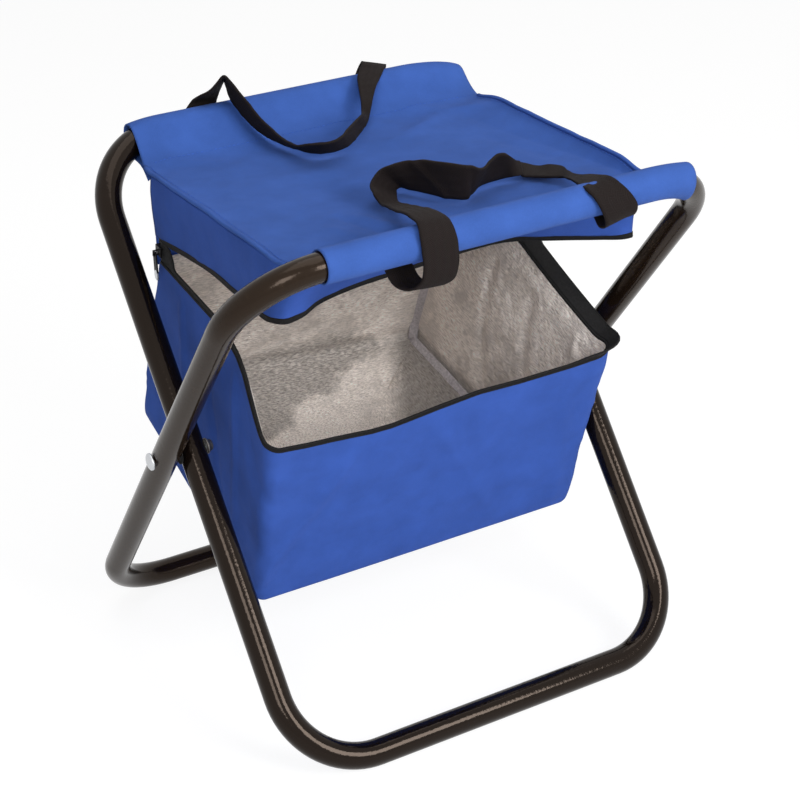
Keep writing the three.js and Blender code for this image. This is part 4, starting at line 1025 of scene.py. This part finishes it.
def bag_place(x, depth, drop):
    """A place in the bag from its place across, its depth from the rear wall and its drop below the rim. The
    left rim stands up behind its corner, the right rim flares to the front, and the rear right corner is pinched
    in by a sine of the way down."""
    down = drop / WALL
    rear, front, whole = bag_depth(down)
    share = depth / whole
    at = rear + (front - rear) * share[..., None]
    fall = np.clip(1 - down, 0, None)
    raised = between(LEFT_RIM, share) * fall * ease(-x / 60.0)
    lift = np.where(x < 0, LEFT_RIM_RISE * raised, 0.0)
    along_front = (x + BAG_LEFT) / (BAG_LEFT + BAG_RIGHT)
    lift = lift + between(FRONT_RIM, along_front) * ease((share - 0.84) / 0.16) * fall
    flare = RIGHT_FLARE * share ** 2 * fall
    pinch = REAR_PINCH * (1 - share) * np.sin(np.pi / 2 * np.clip(down / 0.67, 0, 1))
    moved = np.where(x > 0, (flare - pinch) * (x / BAG_RIGHT), -raised)
    return np.stack([x + moved, at[..., 0], at[..., 1] + lift], axis=-1)


def bag_stations(side_steps):
    """Stations round the bag from the rear left: the share across, the share of depth, and the way outwards."""
    quarter = np.linspace(0, np.pi / 2, CORNER_STATIONS + 2)[1:-1]
    run = np.linspace(0, 1, side_steps)
    still = np.zeros(CORNER_STATIONS)
    zero = np.zeros(side_steps)
    parts = [
        (zero, run, zero - 1, zero),
        (still, still + 1, -np.cos(quarter), np.sin(quarter)),
        (run, zero + 1, zero, zero + 1),
        (still + 1, still + 1, np.sin(quarter), np.cos(quarter)),
        (zero + 1, 1 - run, zero + 1, zero),
        (still + 1, still, np.cos(quarter), -np.sin(quarter)),
        (1 - run, zero, zero, zero - 1),
        (still, still, -np.sin(quarter), -np.cos(quarter)),
    ]
    return [np.concatenate([part[k] for part in parts]) for k in range(4)]


def bag_ring(stations, inset, drop):
    """The bag's outline at an inset and a drop, as places: a rectangle drawn in by the corner's radius, plus that
    radius outwards. The radii blend from corner to corner and from the rim to the foot."""
    across, deep, out_x, out_depth = stations
    lower = ease(drop / WALL)
    front_corner = (LEFT_CORNER - 2.0 * lower) * (1 - across) + (CORNER - 7.0 * lower) * across
    rear_corner = REAR_CORNER + 5.0 * lower
    corner = rear_corner * (1 - deep) + front_corner * deep
    reach = corner - inset
    x = (-BAG_LEFT + corner) * (1 - across) + (BAG_RIGHT - corner) * across + reach * out_x
    whole = bag_depth(drop / WALL)[2]
    depth = rear_corner * (1 - deep) + (whole - front_corner) * deep + reach * out_depth
    return bag_place(x, depth, drop)


# Long creases, as places round the bag (0 to 1) and down it (0 to 0.25), with a width and a height
BAG_CREASES = [
    ((0.30, 0.03), (0.24, 0.22), 0.006, 2.6), ((0.36, 0.02), (0.41, 0.2), 0.007, 2.2),
    ((0.46, 0.05), (0.47, 0.24), 0.006, 2.0), ((0.53, 0.02), (0.50, 0.16), 0.006, -2.2),
    ((0.60, 0.03), (0.57, 0.2), 0.007, 2.4), ((0.66, 0.04), (0.63, 0.21), 0.006, 2.0),
    ((0.06, 0.02), (0.10, 0.2), 0.007, 2.2), ((0.12, 0.05), (0.17, 0.22), 0.006, -2.0),
    ((0.18, 0.02), (0.19, 0.2), 0.005, 2.0), ((0.74, 0.03), (0.79, 0.2), 0.007, 2.2),
    ((0.86, 0.04), (0.83, 0.21), 0.007, 2.0),
]


def bag_crumple(u, down):
    """How far the limp wall stands off its plain form: slow billows, finer puckers and long creases, which all
    fade to nothing at the rim and at the foot."""
    billow = 3.2 * ripple(u * 9.0, down * 2.2 + 4.0, 51)
    pucker = 0.9 * ripple(u * 34.0, down * 6.0, 52) + 0.45 * ripple(u * 70.0, down * 18.0, 53)
    held = ease(down / 0.12) * ease((1.0 - down) / 0.1)
    creases = 0.0
    for start, end, width, height in BAG_CREASES:
        creases = creases + fold(u, down * 0.25, start, end, width, height)
    return (billow + pucker + creases) * held


def tub(inset, rim_inset, inside=False, wall_rows=WALL_ROWS, base_rows=22, sag=6.0, top=0.0):
    """An open-topped tub: rings down the wall, a quarter round at the foot, then rings drawn in to the middle.
    Near the rim the wall is pinched to the rim's inset by the binding. The base sags by a sine and is rippled."""
    stations = bag_stations(SIDE_STATIONS)
    foot = LINING_FOOT if inside else FOOT
    deep = WALL - inset
    wall = np.linspace(top, deep - foot, wall_rows)
    curl = np.linspace(0, np.pi / 2, 7)[1:]
    drops = np.concatenate([wall, deep - foot + foot * np.sin(curl)])
    insets = inset + (rim_inset - inset) * (1 - ease(drops / PINCHED))
    insets[wall_rows:] += foot * (1 - np.cos(curl))
    station = [part[None, :] for part in stations]
    count = len(stations[0])
    rings = bag_ring(station, insets[:, None], np.broadcast_to(drops[:, None], (len(drops), count)))
    u = np.broadcast_to(np.arange(count)[None, :] / count, rings.shape[:2])
    down = np.broadcast_to((drops / deep)[:, None], rings.shape[:2])
    normals = grid_normals(rings, True)
    middle = rings.mean(axis=(0, 1))
    normals = normals * np.sign(((rings - middle) * normals).sum(axis=2).mean())
    rings = rings + normals * bag_crumple(u, down)[..., None]
    edge = rings[-1]
    centre = edge.mean(axis=0)
    share = np.linspace(0, 0.985, base_rows)[1:, None, None]
    base = edge * (1 - share) + centre * share
    round_it, inwards = np.arange(count)[None, :] / count, share[..., 0]
    rippled = 1.6 * ripple(round_it * 12.0, inwards * 4.0, 54) * np.sin(inwards * np.pi)
    base[..., 2] -= sag * np.sin(inwards * np.pi / 2) + rippled
    grid = np.concatenate([rings, base])
    return drawn_up(grid) if inside else grid


# A place on the lining's floor, and the drawn-up foil: how steep it is, how far it goes on and how high it reaches
FLOOR_Y, FLOOR_Z = -37.0, 88.0
DRAWN_SLOPE, DRAWN_REACH, DRAWN_HEIGHT = 0.26, 90.0, 80.0


def drawn_up(grid):
    """The limp foil is drawn up on the left of a fold across the floor: it rises in proportion to the distance
    beyond the fold, less and less up the wall, with ridges along the fold, and comes forward off the rear
    wall."""
    x, y, z = grid[..., 0], grid[..., 1], grid[..., 2]
    beyond = ACROSS_FOLD[0] * x + ACROSS_FOLD[1] * y - FOLD_OFFSET
    floor_z = FLOOR_Z + FLOOR_SLOPE * (y - FLOOR_Y)
    low = 1 - ease((z - floor_z) / DRAWN_HEIGHT)
    along_fold = ACROSS_FOLD[1] * x - ACROSS_FOLD[0] * y
    ridges = 1.2 * np.abs(ripple(along_fold / 30.0 + 9.0, beyond / 18.0 + 9.0, 55))
    ridges = 1.5 * np.exp(-((beyond / 5.0) ** 2)) + ridges
    lifted = grid.copy()
    rise = low * (DRAWN_SLOPE * np.clip(beyond, 0, DRAWN_REACH) + ridges)
    lifted[..., 2] += rise
    lifted[..., 1] -= (np.tan(REAR_LEAN) + 0.06) * rise
    return lifted


def on_bag(piece):
    """A piece of the bag turns with the bag, and gets a mesh of its own."""
    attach(piece, "bag")
    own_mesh(piece)


bag_skin = skins("bag_outer_cloth", tub(0.6, 0.6), 1.0, "bag", wrapped=True, closed_end=True)
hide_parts("bag_shell")
on_bag(bag_skin)

# The foam is pressed thin under the binding
FOAM, FOAM_AT_RIM, FOAM_INSET, FOAM_TOP = 3.4, 0.5, 3.4, 0.5
foam_grid = tub(FOAM_INSET, 1.45, top=FOAM_TOP)
foam_drop = np.linspace(FOAM_TOP, WALL - FOAM_INSET - FOOT, WALL_ROWS)
foam_thickness = np.full(len(foam_grid), FOAM)
foam_thickness[:WALL_ROWS] = FOAM_AT_RIM + (FOAM - FOAM_AT_RIM) * ease(foam_drop / PINCHED)
foam_thickness = np.repeat(foam_thickness[:, None], foam_grid.shape[1], axis=1)
bag_pad = skins("bag_foam_wall", foam_grid, foam_thickness, "foam", wrapped=True, closed_end=True)
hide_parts("bag_foam")
on_bag(bag_pad)

lining_grid = tub(6.1, 2.3, inside=True, wall_rows=LINING_ROWS, top=FOAM_TOP)
bag_lining = skins("bag_foil_lining", lining_grid, 0.6, "foil", wrapped=True, closed_end=True)
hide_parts("bag_lining")
on_bag(bag_lining)


def rim_line(inset, rise, steps=64):
    """The rim from the rear left corner round the front to the rear right, lifted square to its own run."""
    stations = [part[: -(steps + 2 * CORNER_STATIONS)] for part in bag_stations(steps)]
    count = len(stations[0])
    rim = bag_ring(stations, inset, np.zeros(count))
    above = bag_ring(stations, inset, np.full(count, -1.0)) - rim
    along = np.gradient(rim, axis=0)
    along /= np.linalg.norm(along, axis=1, keepdims=True)
    above -= (above * along).sum(1, keepdims=True) * along
    above /= np.linalg.norm(above, axis=1, keepdims=True)
    return rim + above * rise, above, along


binding_path, rim_up, _ = rim_line(1.35, -0.5)
rim_binding = carried("rim_edge_binding", binding_path, rim_up, oval(2.2, 3.0, 18, 4.0), "binding")
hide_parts("rim_binding")
on_bag(rim_binding)

# The zip's lower half stands on the binding and turns outwards along the right side
tape_path, tape_up, tape_along = rim_line(1.1, 0.5)
round_rim = np.linspace(0, 1, len(tape_path))
turn_out = ease((round_rim - 0.62) / 0.1) * ease((1.0 - round_rim) / 0.12)
tape_out = np.cross(tape_up, tape_along)
tape_out *= np.sign((tape_out * (tape_path - tape_path.mean(axis=0))).sum(axis=1).mean())
tape_width = 1.1 + 12.5 * turn_out + 1.6 * ease((0.34 - round_rim) / 0.1)
tape_width = tape_width + 13.6 * ease((0.048 - round_rim) / 0.022)
tape_lean = np.pi / 2 * 0.9 * turn_out
direction = np.cos(tape_lean)[:, None] * tape_up + np.sin(tape_lean)[:, None] * tape_out
tape_middle = tape_path + direction * (tape_width / 2)[:, None]
band = np.stack([oval(width, 1.3, 12, 6.0) for width in tape_width])
lower_tape = carried("lower_zip_band", tape_middle, direction, band, "zip")
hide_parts("lower_zip_tape")
on_bag(lower_tape)
teeth_path = tape_path + direction * (tape_width + 0.3)[:, None]
lower_teeth = carried("lower_zip_coil", teeth_path, direction, oval(1.2, 1.7, 10, 2.5), "teeth")
on_bag(lower_teeth)


def seam_tape(name, points, node):
    """Grey tape bound over a seam of the lining: a flat oval carried down the corner, facing the bag's middle."""
    line = smooth_path(points, 40)
    inwards = BAG_MIDDLE - line
    along = np.gradient(line, axis=0)
    tape = carried(name, line, np.cross(inwards, along), oval(8.0, 1.4, 14, 4.0), "seam")
    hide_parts(node)
    on_bag(tape)


# Rows and columns of the lining's grid that the seams follow: down the four corners to the foot, and along the
# left and right sides of the floor
FOOT_ROW = LINING_ROWS + 4
corner_columns = {
    "rear_right": SIDE_STATIONS + 2 * SIDE_AND_CORNER + 4,
    "front_left": SIDE_STATIONS + 4,
    "front_right": SIDE_STATIONS + SIDE_AND_CORNER + 3,
    "rear_left": SIDE_STATIONS + 3 * SIDE_AND_CORNER + 3,
}
for corner_name, column in corner_columns.items():
    down_corner = lining_grid[[*range(3, FOOT_ROW - 1, 7), FOOT_ROW], column]
    towards = BAG_MIDDLE[:2] - down_corner[:, :2]
    towards /= np.linalg.norm(towards, axis=1, keepdims=True)
    down_corner = down_corner + np.concatenate([towards * 1.2, np.zeros((len(towards), 1))], axis=1)
    seam_tape("corner_seam_" + corner_name, down_corner, "seam_tape_" + corner_name)
for side_name, start, inwards in (("left", 0, 1.4), ("right", 2 * SIDE_AND_CORNER, -1.4)):
    columns = [start - 4, *range(start + 4, start + SIDE_STATIONS, 8), start + SIDE_STATIONS + 4]
    foot_line = lining_grid[FOOT_ROW, columns] + [inwards, 0, 1.8]
    seam_tape("foot_seam_" + side_name, foot_line, "seam_tape_bottom_" + side_name)


# ---- webbing handles

# Stations of each strap: a place on its one edge, and the place across from it on the other
FRONT_STRAP = [
    (-78.7, -136.5, 379.4, -58.3, -136.5, 378.2), (-76.5, -137.5, 371.5, -56.0, -137.5, 371.6),
    (-74.8, -142.0, 365.6, -54.3, -142.0, 364.9), (-71.9, -151.0, 363.6, -50.6, -151.0, 362.3),
    (-68.0, -158.5, 365.7, -45.2, -158.5, 364.1), (-64.5, -163.0, 372.1, -40.3, -163.0, 368.7),
    (-63.7, -164.5, 380.8, -38.1, -164.5, 376.8), (-64.5, -164.5, 392.8, -37.7, -164.5, 387.9),
    (-64.5, -161.8, 402.9, -37.9, -161.8, 398.9), (-61.9, -154.5, 408.1, -37.8, -154.5, 405.4),
    (-61.2, -144.0, 409.3, -38.6, -144.0, 407.0), (-55.4, -116.0, 403.0, -38.0, -119.0, 402.6),
    (-42.4, -80.0, 391.7, -30.6, -88.0, 393.0), (-36.4, -59.0, 386.9, -24.9, -66.0, 387.1),
    (-36.8, -53.2, 391.8, -15.2, -47.2, 383.4), (-29.9, -38.7, 394.6, -7.8, -36.1, 383.1),
    (-22.8, -36.9, 400.0, -3.2, -34.4, 383.1), (-15.3, -42.4, 404.6, -0.7, -41.2, 383.2),
    (-7.5, -47.0, 407.0, 2.9, -50.3, 383.4), (-0.7, -54.6, 409.0, 6.5, -60.5, 383.6),
    (3.8, -67.3, 410.7, 10.7, -71.0, 383.8), (10.5, -80.0, 411.5, 15.7, -78.8, 384.0),
    (19.8, -88.3, 410.1, 21.2, -81.7, 384.0), (33.0, -84.6, 404.8, 32.6, -72.2, 384.3),
    (44.1, -77.0, 406.2, 42.3, -65.3, 384.2), (52.2, -73.6, 407.8, 52.4, -62.7, 384.2),
    (59.2, -73.7, 406.6, 63.4, -61.4, 384.1), (69.0, -67.0, 399.0, 69.4, -67.6, 386.0),
    (89.4, -51.8, 386.6, 80.2, -68.2, 383.8), (97.6, -57.6, 384.5, 87.0, -74.5, 383.9),
    (101.7, -64.9, 387.1, 91.4, -81.9, 385.0), (105.7, -71.0, 387.3, 94.4, -87.4, 386.1),
    (100.7, -90.6, 389.8, 88.2, -106.0, 392.2), (91.8, -118.7, 397.8, 75.4, -136.0, 400.6),
    (92.1, -137.0, 403.3, 68.0, -158.0, 404.0), (92.4, -151.5, 406.4, 70.4, -162.8, 400.0),
    (96.8, -160.5, 401.5, 73.8, -164.5, 393.8), (101.5, -164.0, 395.1, 76.9, -165.0, 387.1),
    (104.9, -165.0, 388.9, 80.3, -163.5, 379.8), (106.0, -163.0, 383.3, 83.9, -157.0, 373.5),
    (107.6, -156.0, 377.8, 85.4, -148.0, 371.3), (109.1, -146.0, 375.6, 87.4, -141.0, 373.7),
    (110.6, -138.0, 380.1, 86.9, -138.0, 379.4),
]
REAR_STRAP = [
    (-82.2, 163.5, 391.8, -56.8, 163.5, 392.9), (-78.7, 163.5, 398.3, -53.0, 163.5, 398.2),
    (-73.4, 162.5, 405.1, -51.8, 162.5, 403.4), (-71.6, 148.4, 413.5, -51.0, 160.0, 409.5),
    (-65.7, 141.5, 418.8, -49.4, 158.5, 414.4), (-60.4, 138.7, 424.8, -48.0, 157.0, 418.5),
    (-56.3, 136.8, 429.4, -47.6, 155.0, 420.7), (-53.5, 133.7, 426.5, -47.5, 152.0, 415.9),
    (-51.0, 130.2, 422.1, -47.6, 148.5, 410.4), (-48.4, 124.4, 416.2, -47.1, 143.5, 405.3),
    (-45.2, 118.1, 410.3, -45.0, 137.5, 399.9), (-42.7, 110.0, 403.0, -41.8, 129.7, 393.4),
    (-39.6, 99.7, 397.5, -38.1, 119.4, 387.6), (-37.7, 83.3, 393.0, -33.6, 103.0, 384.1),
    (-38.1, 68.2, 393.0, -31.2, 87.1, 384.1), (-37.3, 57.1, 393.7, -28.4, 74.9, 384.4),
    (-33.7, 48.0, 396.9, -25.5, 64.4, 384.7), (-27.0, 41.7, 398.0, -19.3, 57.3, 384.6),
    (-18.8, 40.1, 398.0, -9.7, 54.8, 384.5), (-8.6, 44.3, 398.4, 2.0, 57.7, 384.5),
    (4.7, 56.1, 399.1, 16.1, 68.3, 384.8), (18.0, 69.0, 398.9, 29.3, 81.7, 385.0),
    (27.5, 77.8, 398.4, 38.6, 90.8, 386.2), (41.5, 101.0, 394.0, 47.5, 101.0, 388.8),
    (45.5, 109.0, 397.5, 54.7, 109.0, 394.9), (50.1, 119.0, 400.3, 62.6, 119.0, 398.4),
    (55.5, 131.0, 404.2, 72.7, 131.0, 401.8), (60.6, 141.0, 407.1, 81.7, 141.0, 403.3),
    (67.6, 150.0, 409.3, 89.6, 150.0, 404.9), (73.4, 157.0, 410.9, 95.6, 157.0, 404.7),
    (76.1, 162.0, 410.4, 98.5, 162.0, 403.7), (74.6, 164.3, 405.6, 97.8, 164.3, 398.5),
    (71.0, 164.3, 397.6, 95.2, 164.3, 391.5), (68.1, 163.0, 388.5, 92.4, 163.0, 384.0),
]


def webbing_loop(name, stations, creases, node, rows=300):
    """Webbing between two edge curves: rows that run straight across, with creases and a slight ripple square to
    them. Its place is baked into its mesh."""
    edges = np.array(stations, float)
    middle, half = (edges[:, :3] + edges[:, 3:]) / 2, (edges[:, :3] - edges[:, 3:]) / 2
    route = smooth_path(np.concatenate([middle, half], axis=1), rows)
    share = np.linspace(-1, 1, 11)[None, :, None]
    grid = route[:, None, :3] + share * route[:, None, 3:]
    along, across = np.meshgrid(np.linspace(0, 1, rows), share[0, :, 0], indexing="ij")
    off = 0.35 * ripple(along * 60.0 + 2.0, across + 4.0, 61)
    for start, end, width, height in creases:
        off = off + fold(along, across * 0.02, start, end, width, height)
    grid = grid + grid_normals(grid, False) * off[..., None]
    strap = skins(name, grid, 1.7, "strap")
    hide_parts(node)
    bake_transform(strap)


webbing_loop(
    "front_strap", FRONT_STRAP,
    [((0.50, -0.02), (0.46, 0.02), 0.006, 1.6), ((0.55, -0.02), (0.54, 0.02), 0.006, -1.4),
     ((0.66, -0.02), (0.66, 0.02), 0.005, 1.4)],
    "front_handle",
)
webbing_loop("rear_strap", REAR_STRAP, [], "rear_handle")


# ---- the solids that stay in view

for node_name, finish_name in (("outer_frame_plug", "steel"), ("inner_frame_plug", "steel"),
                               ("zip_slider", "black_metal"), ("zip_pull", "black_metal")):
    for material_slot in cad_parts[node_name].material_slots:
        material_slot.material = finishes[finish_name]

# A bright tab over the end of the black pull: an oval carried up its length, drawn in at both ends by an ellipse
pull_low, pull_high = (np.array(corner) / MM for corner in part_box("zip_pull"))
tab_line = np.linspace([0.0, 0, 0], [0, 0, 8.4], 9) + [*(pull_low + pull_high)[:2] / 2, pull_low[2] - 0.2]
tab_round = np.sqrt(1 - np.linspace(0.94, -0.9, 9) ** 2 * 0.9)[:, None, None]
tab_ovals = oval(5.6, 2.2, 16, 3.0) * tab_round
pull_tab = carried("zip_pull_tab", tab_line, np.tile([0.0, 1.0, 0], (9, 1)), tab_ovals, "steel")
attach(pull_tab, "zip_pull")

dressed_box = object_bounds()
({"cad": [list(map(float, corner)) for corner in cad_box],
           "dressed": [list(map(float, corner)) for corner in dressed_box]})
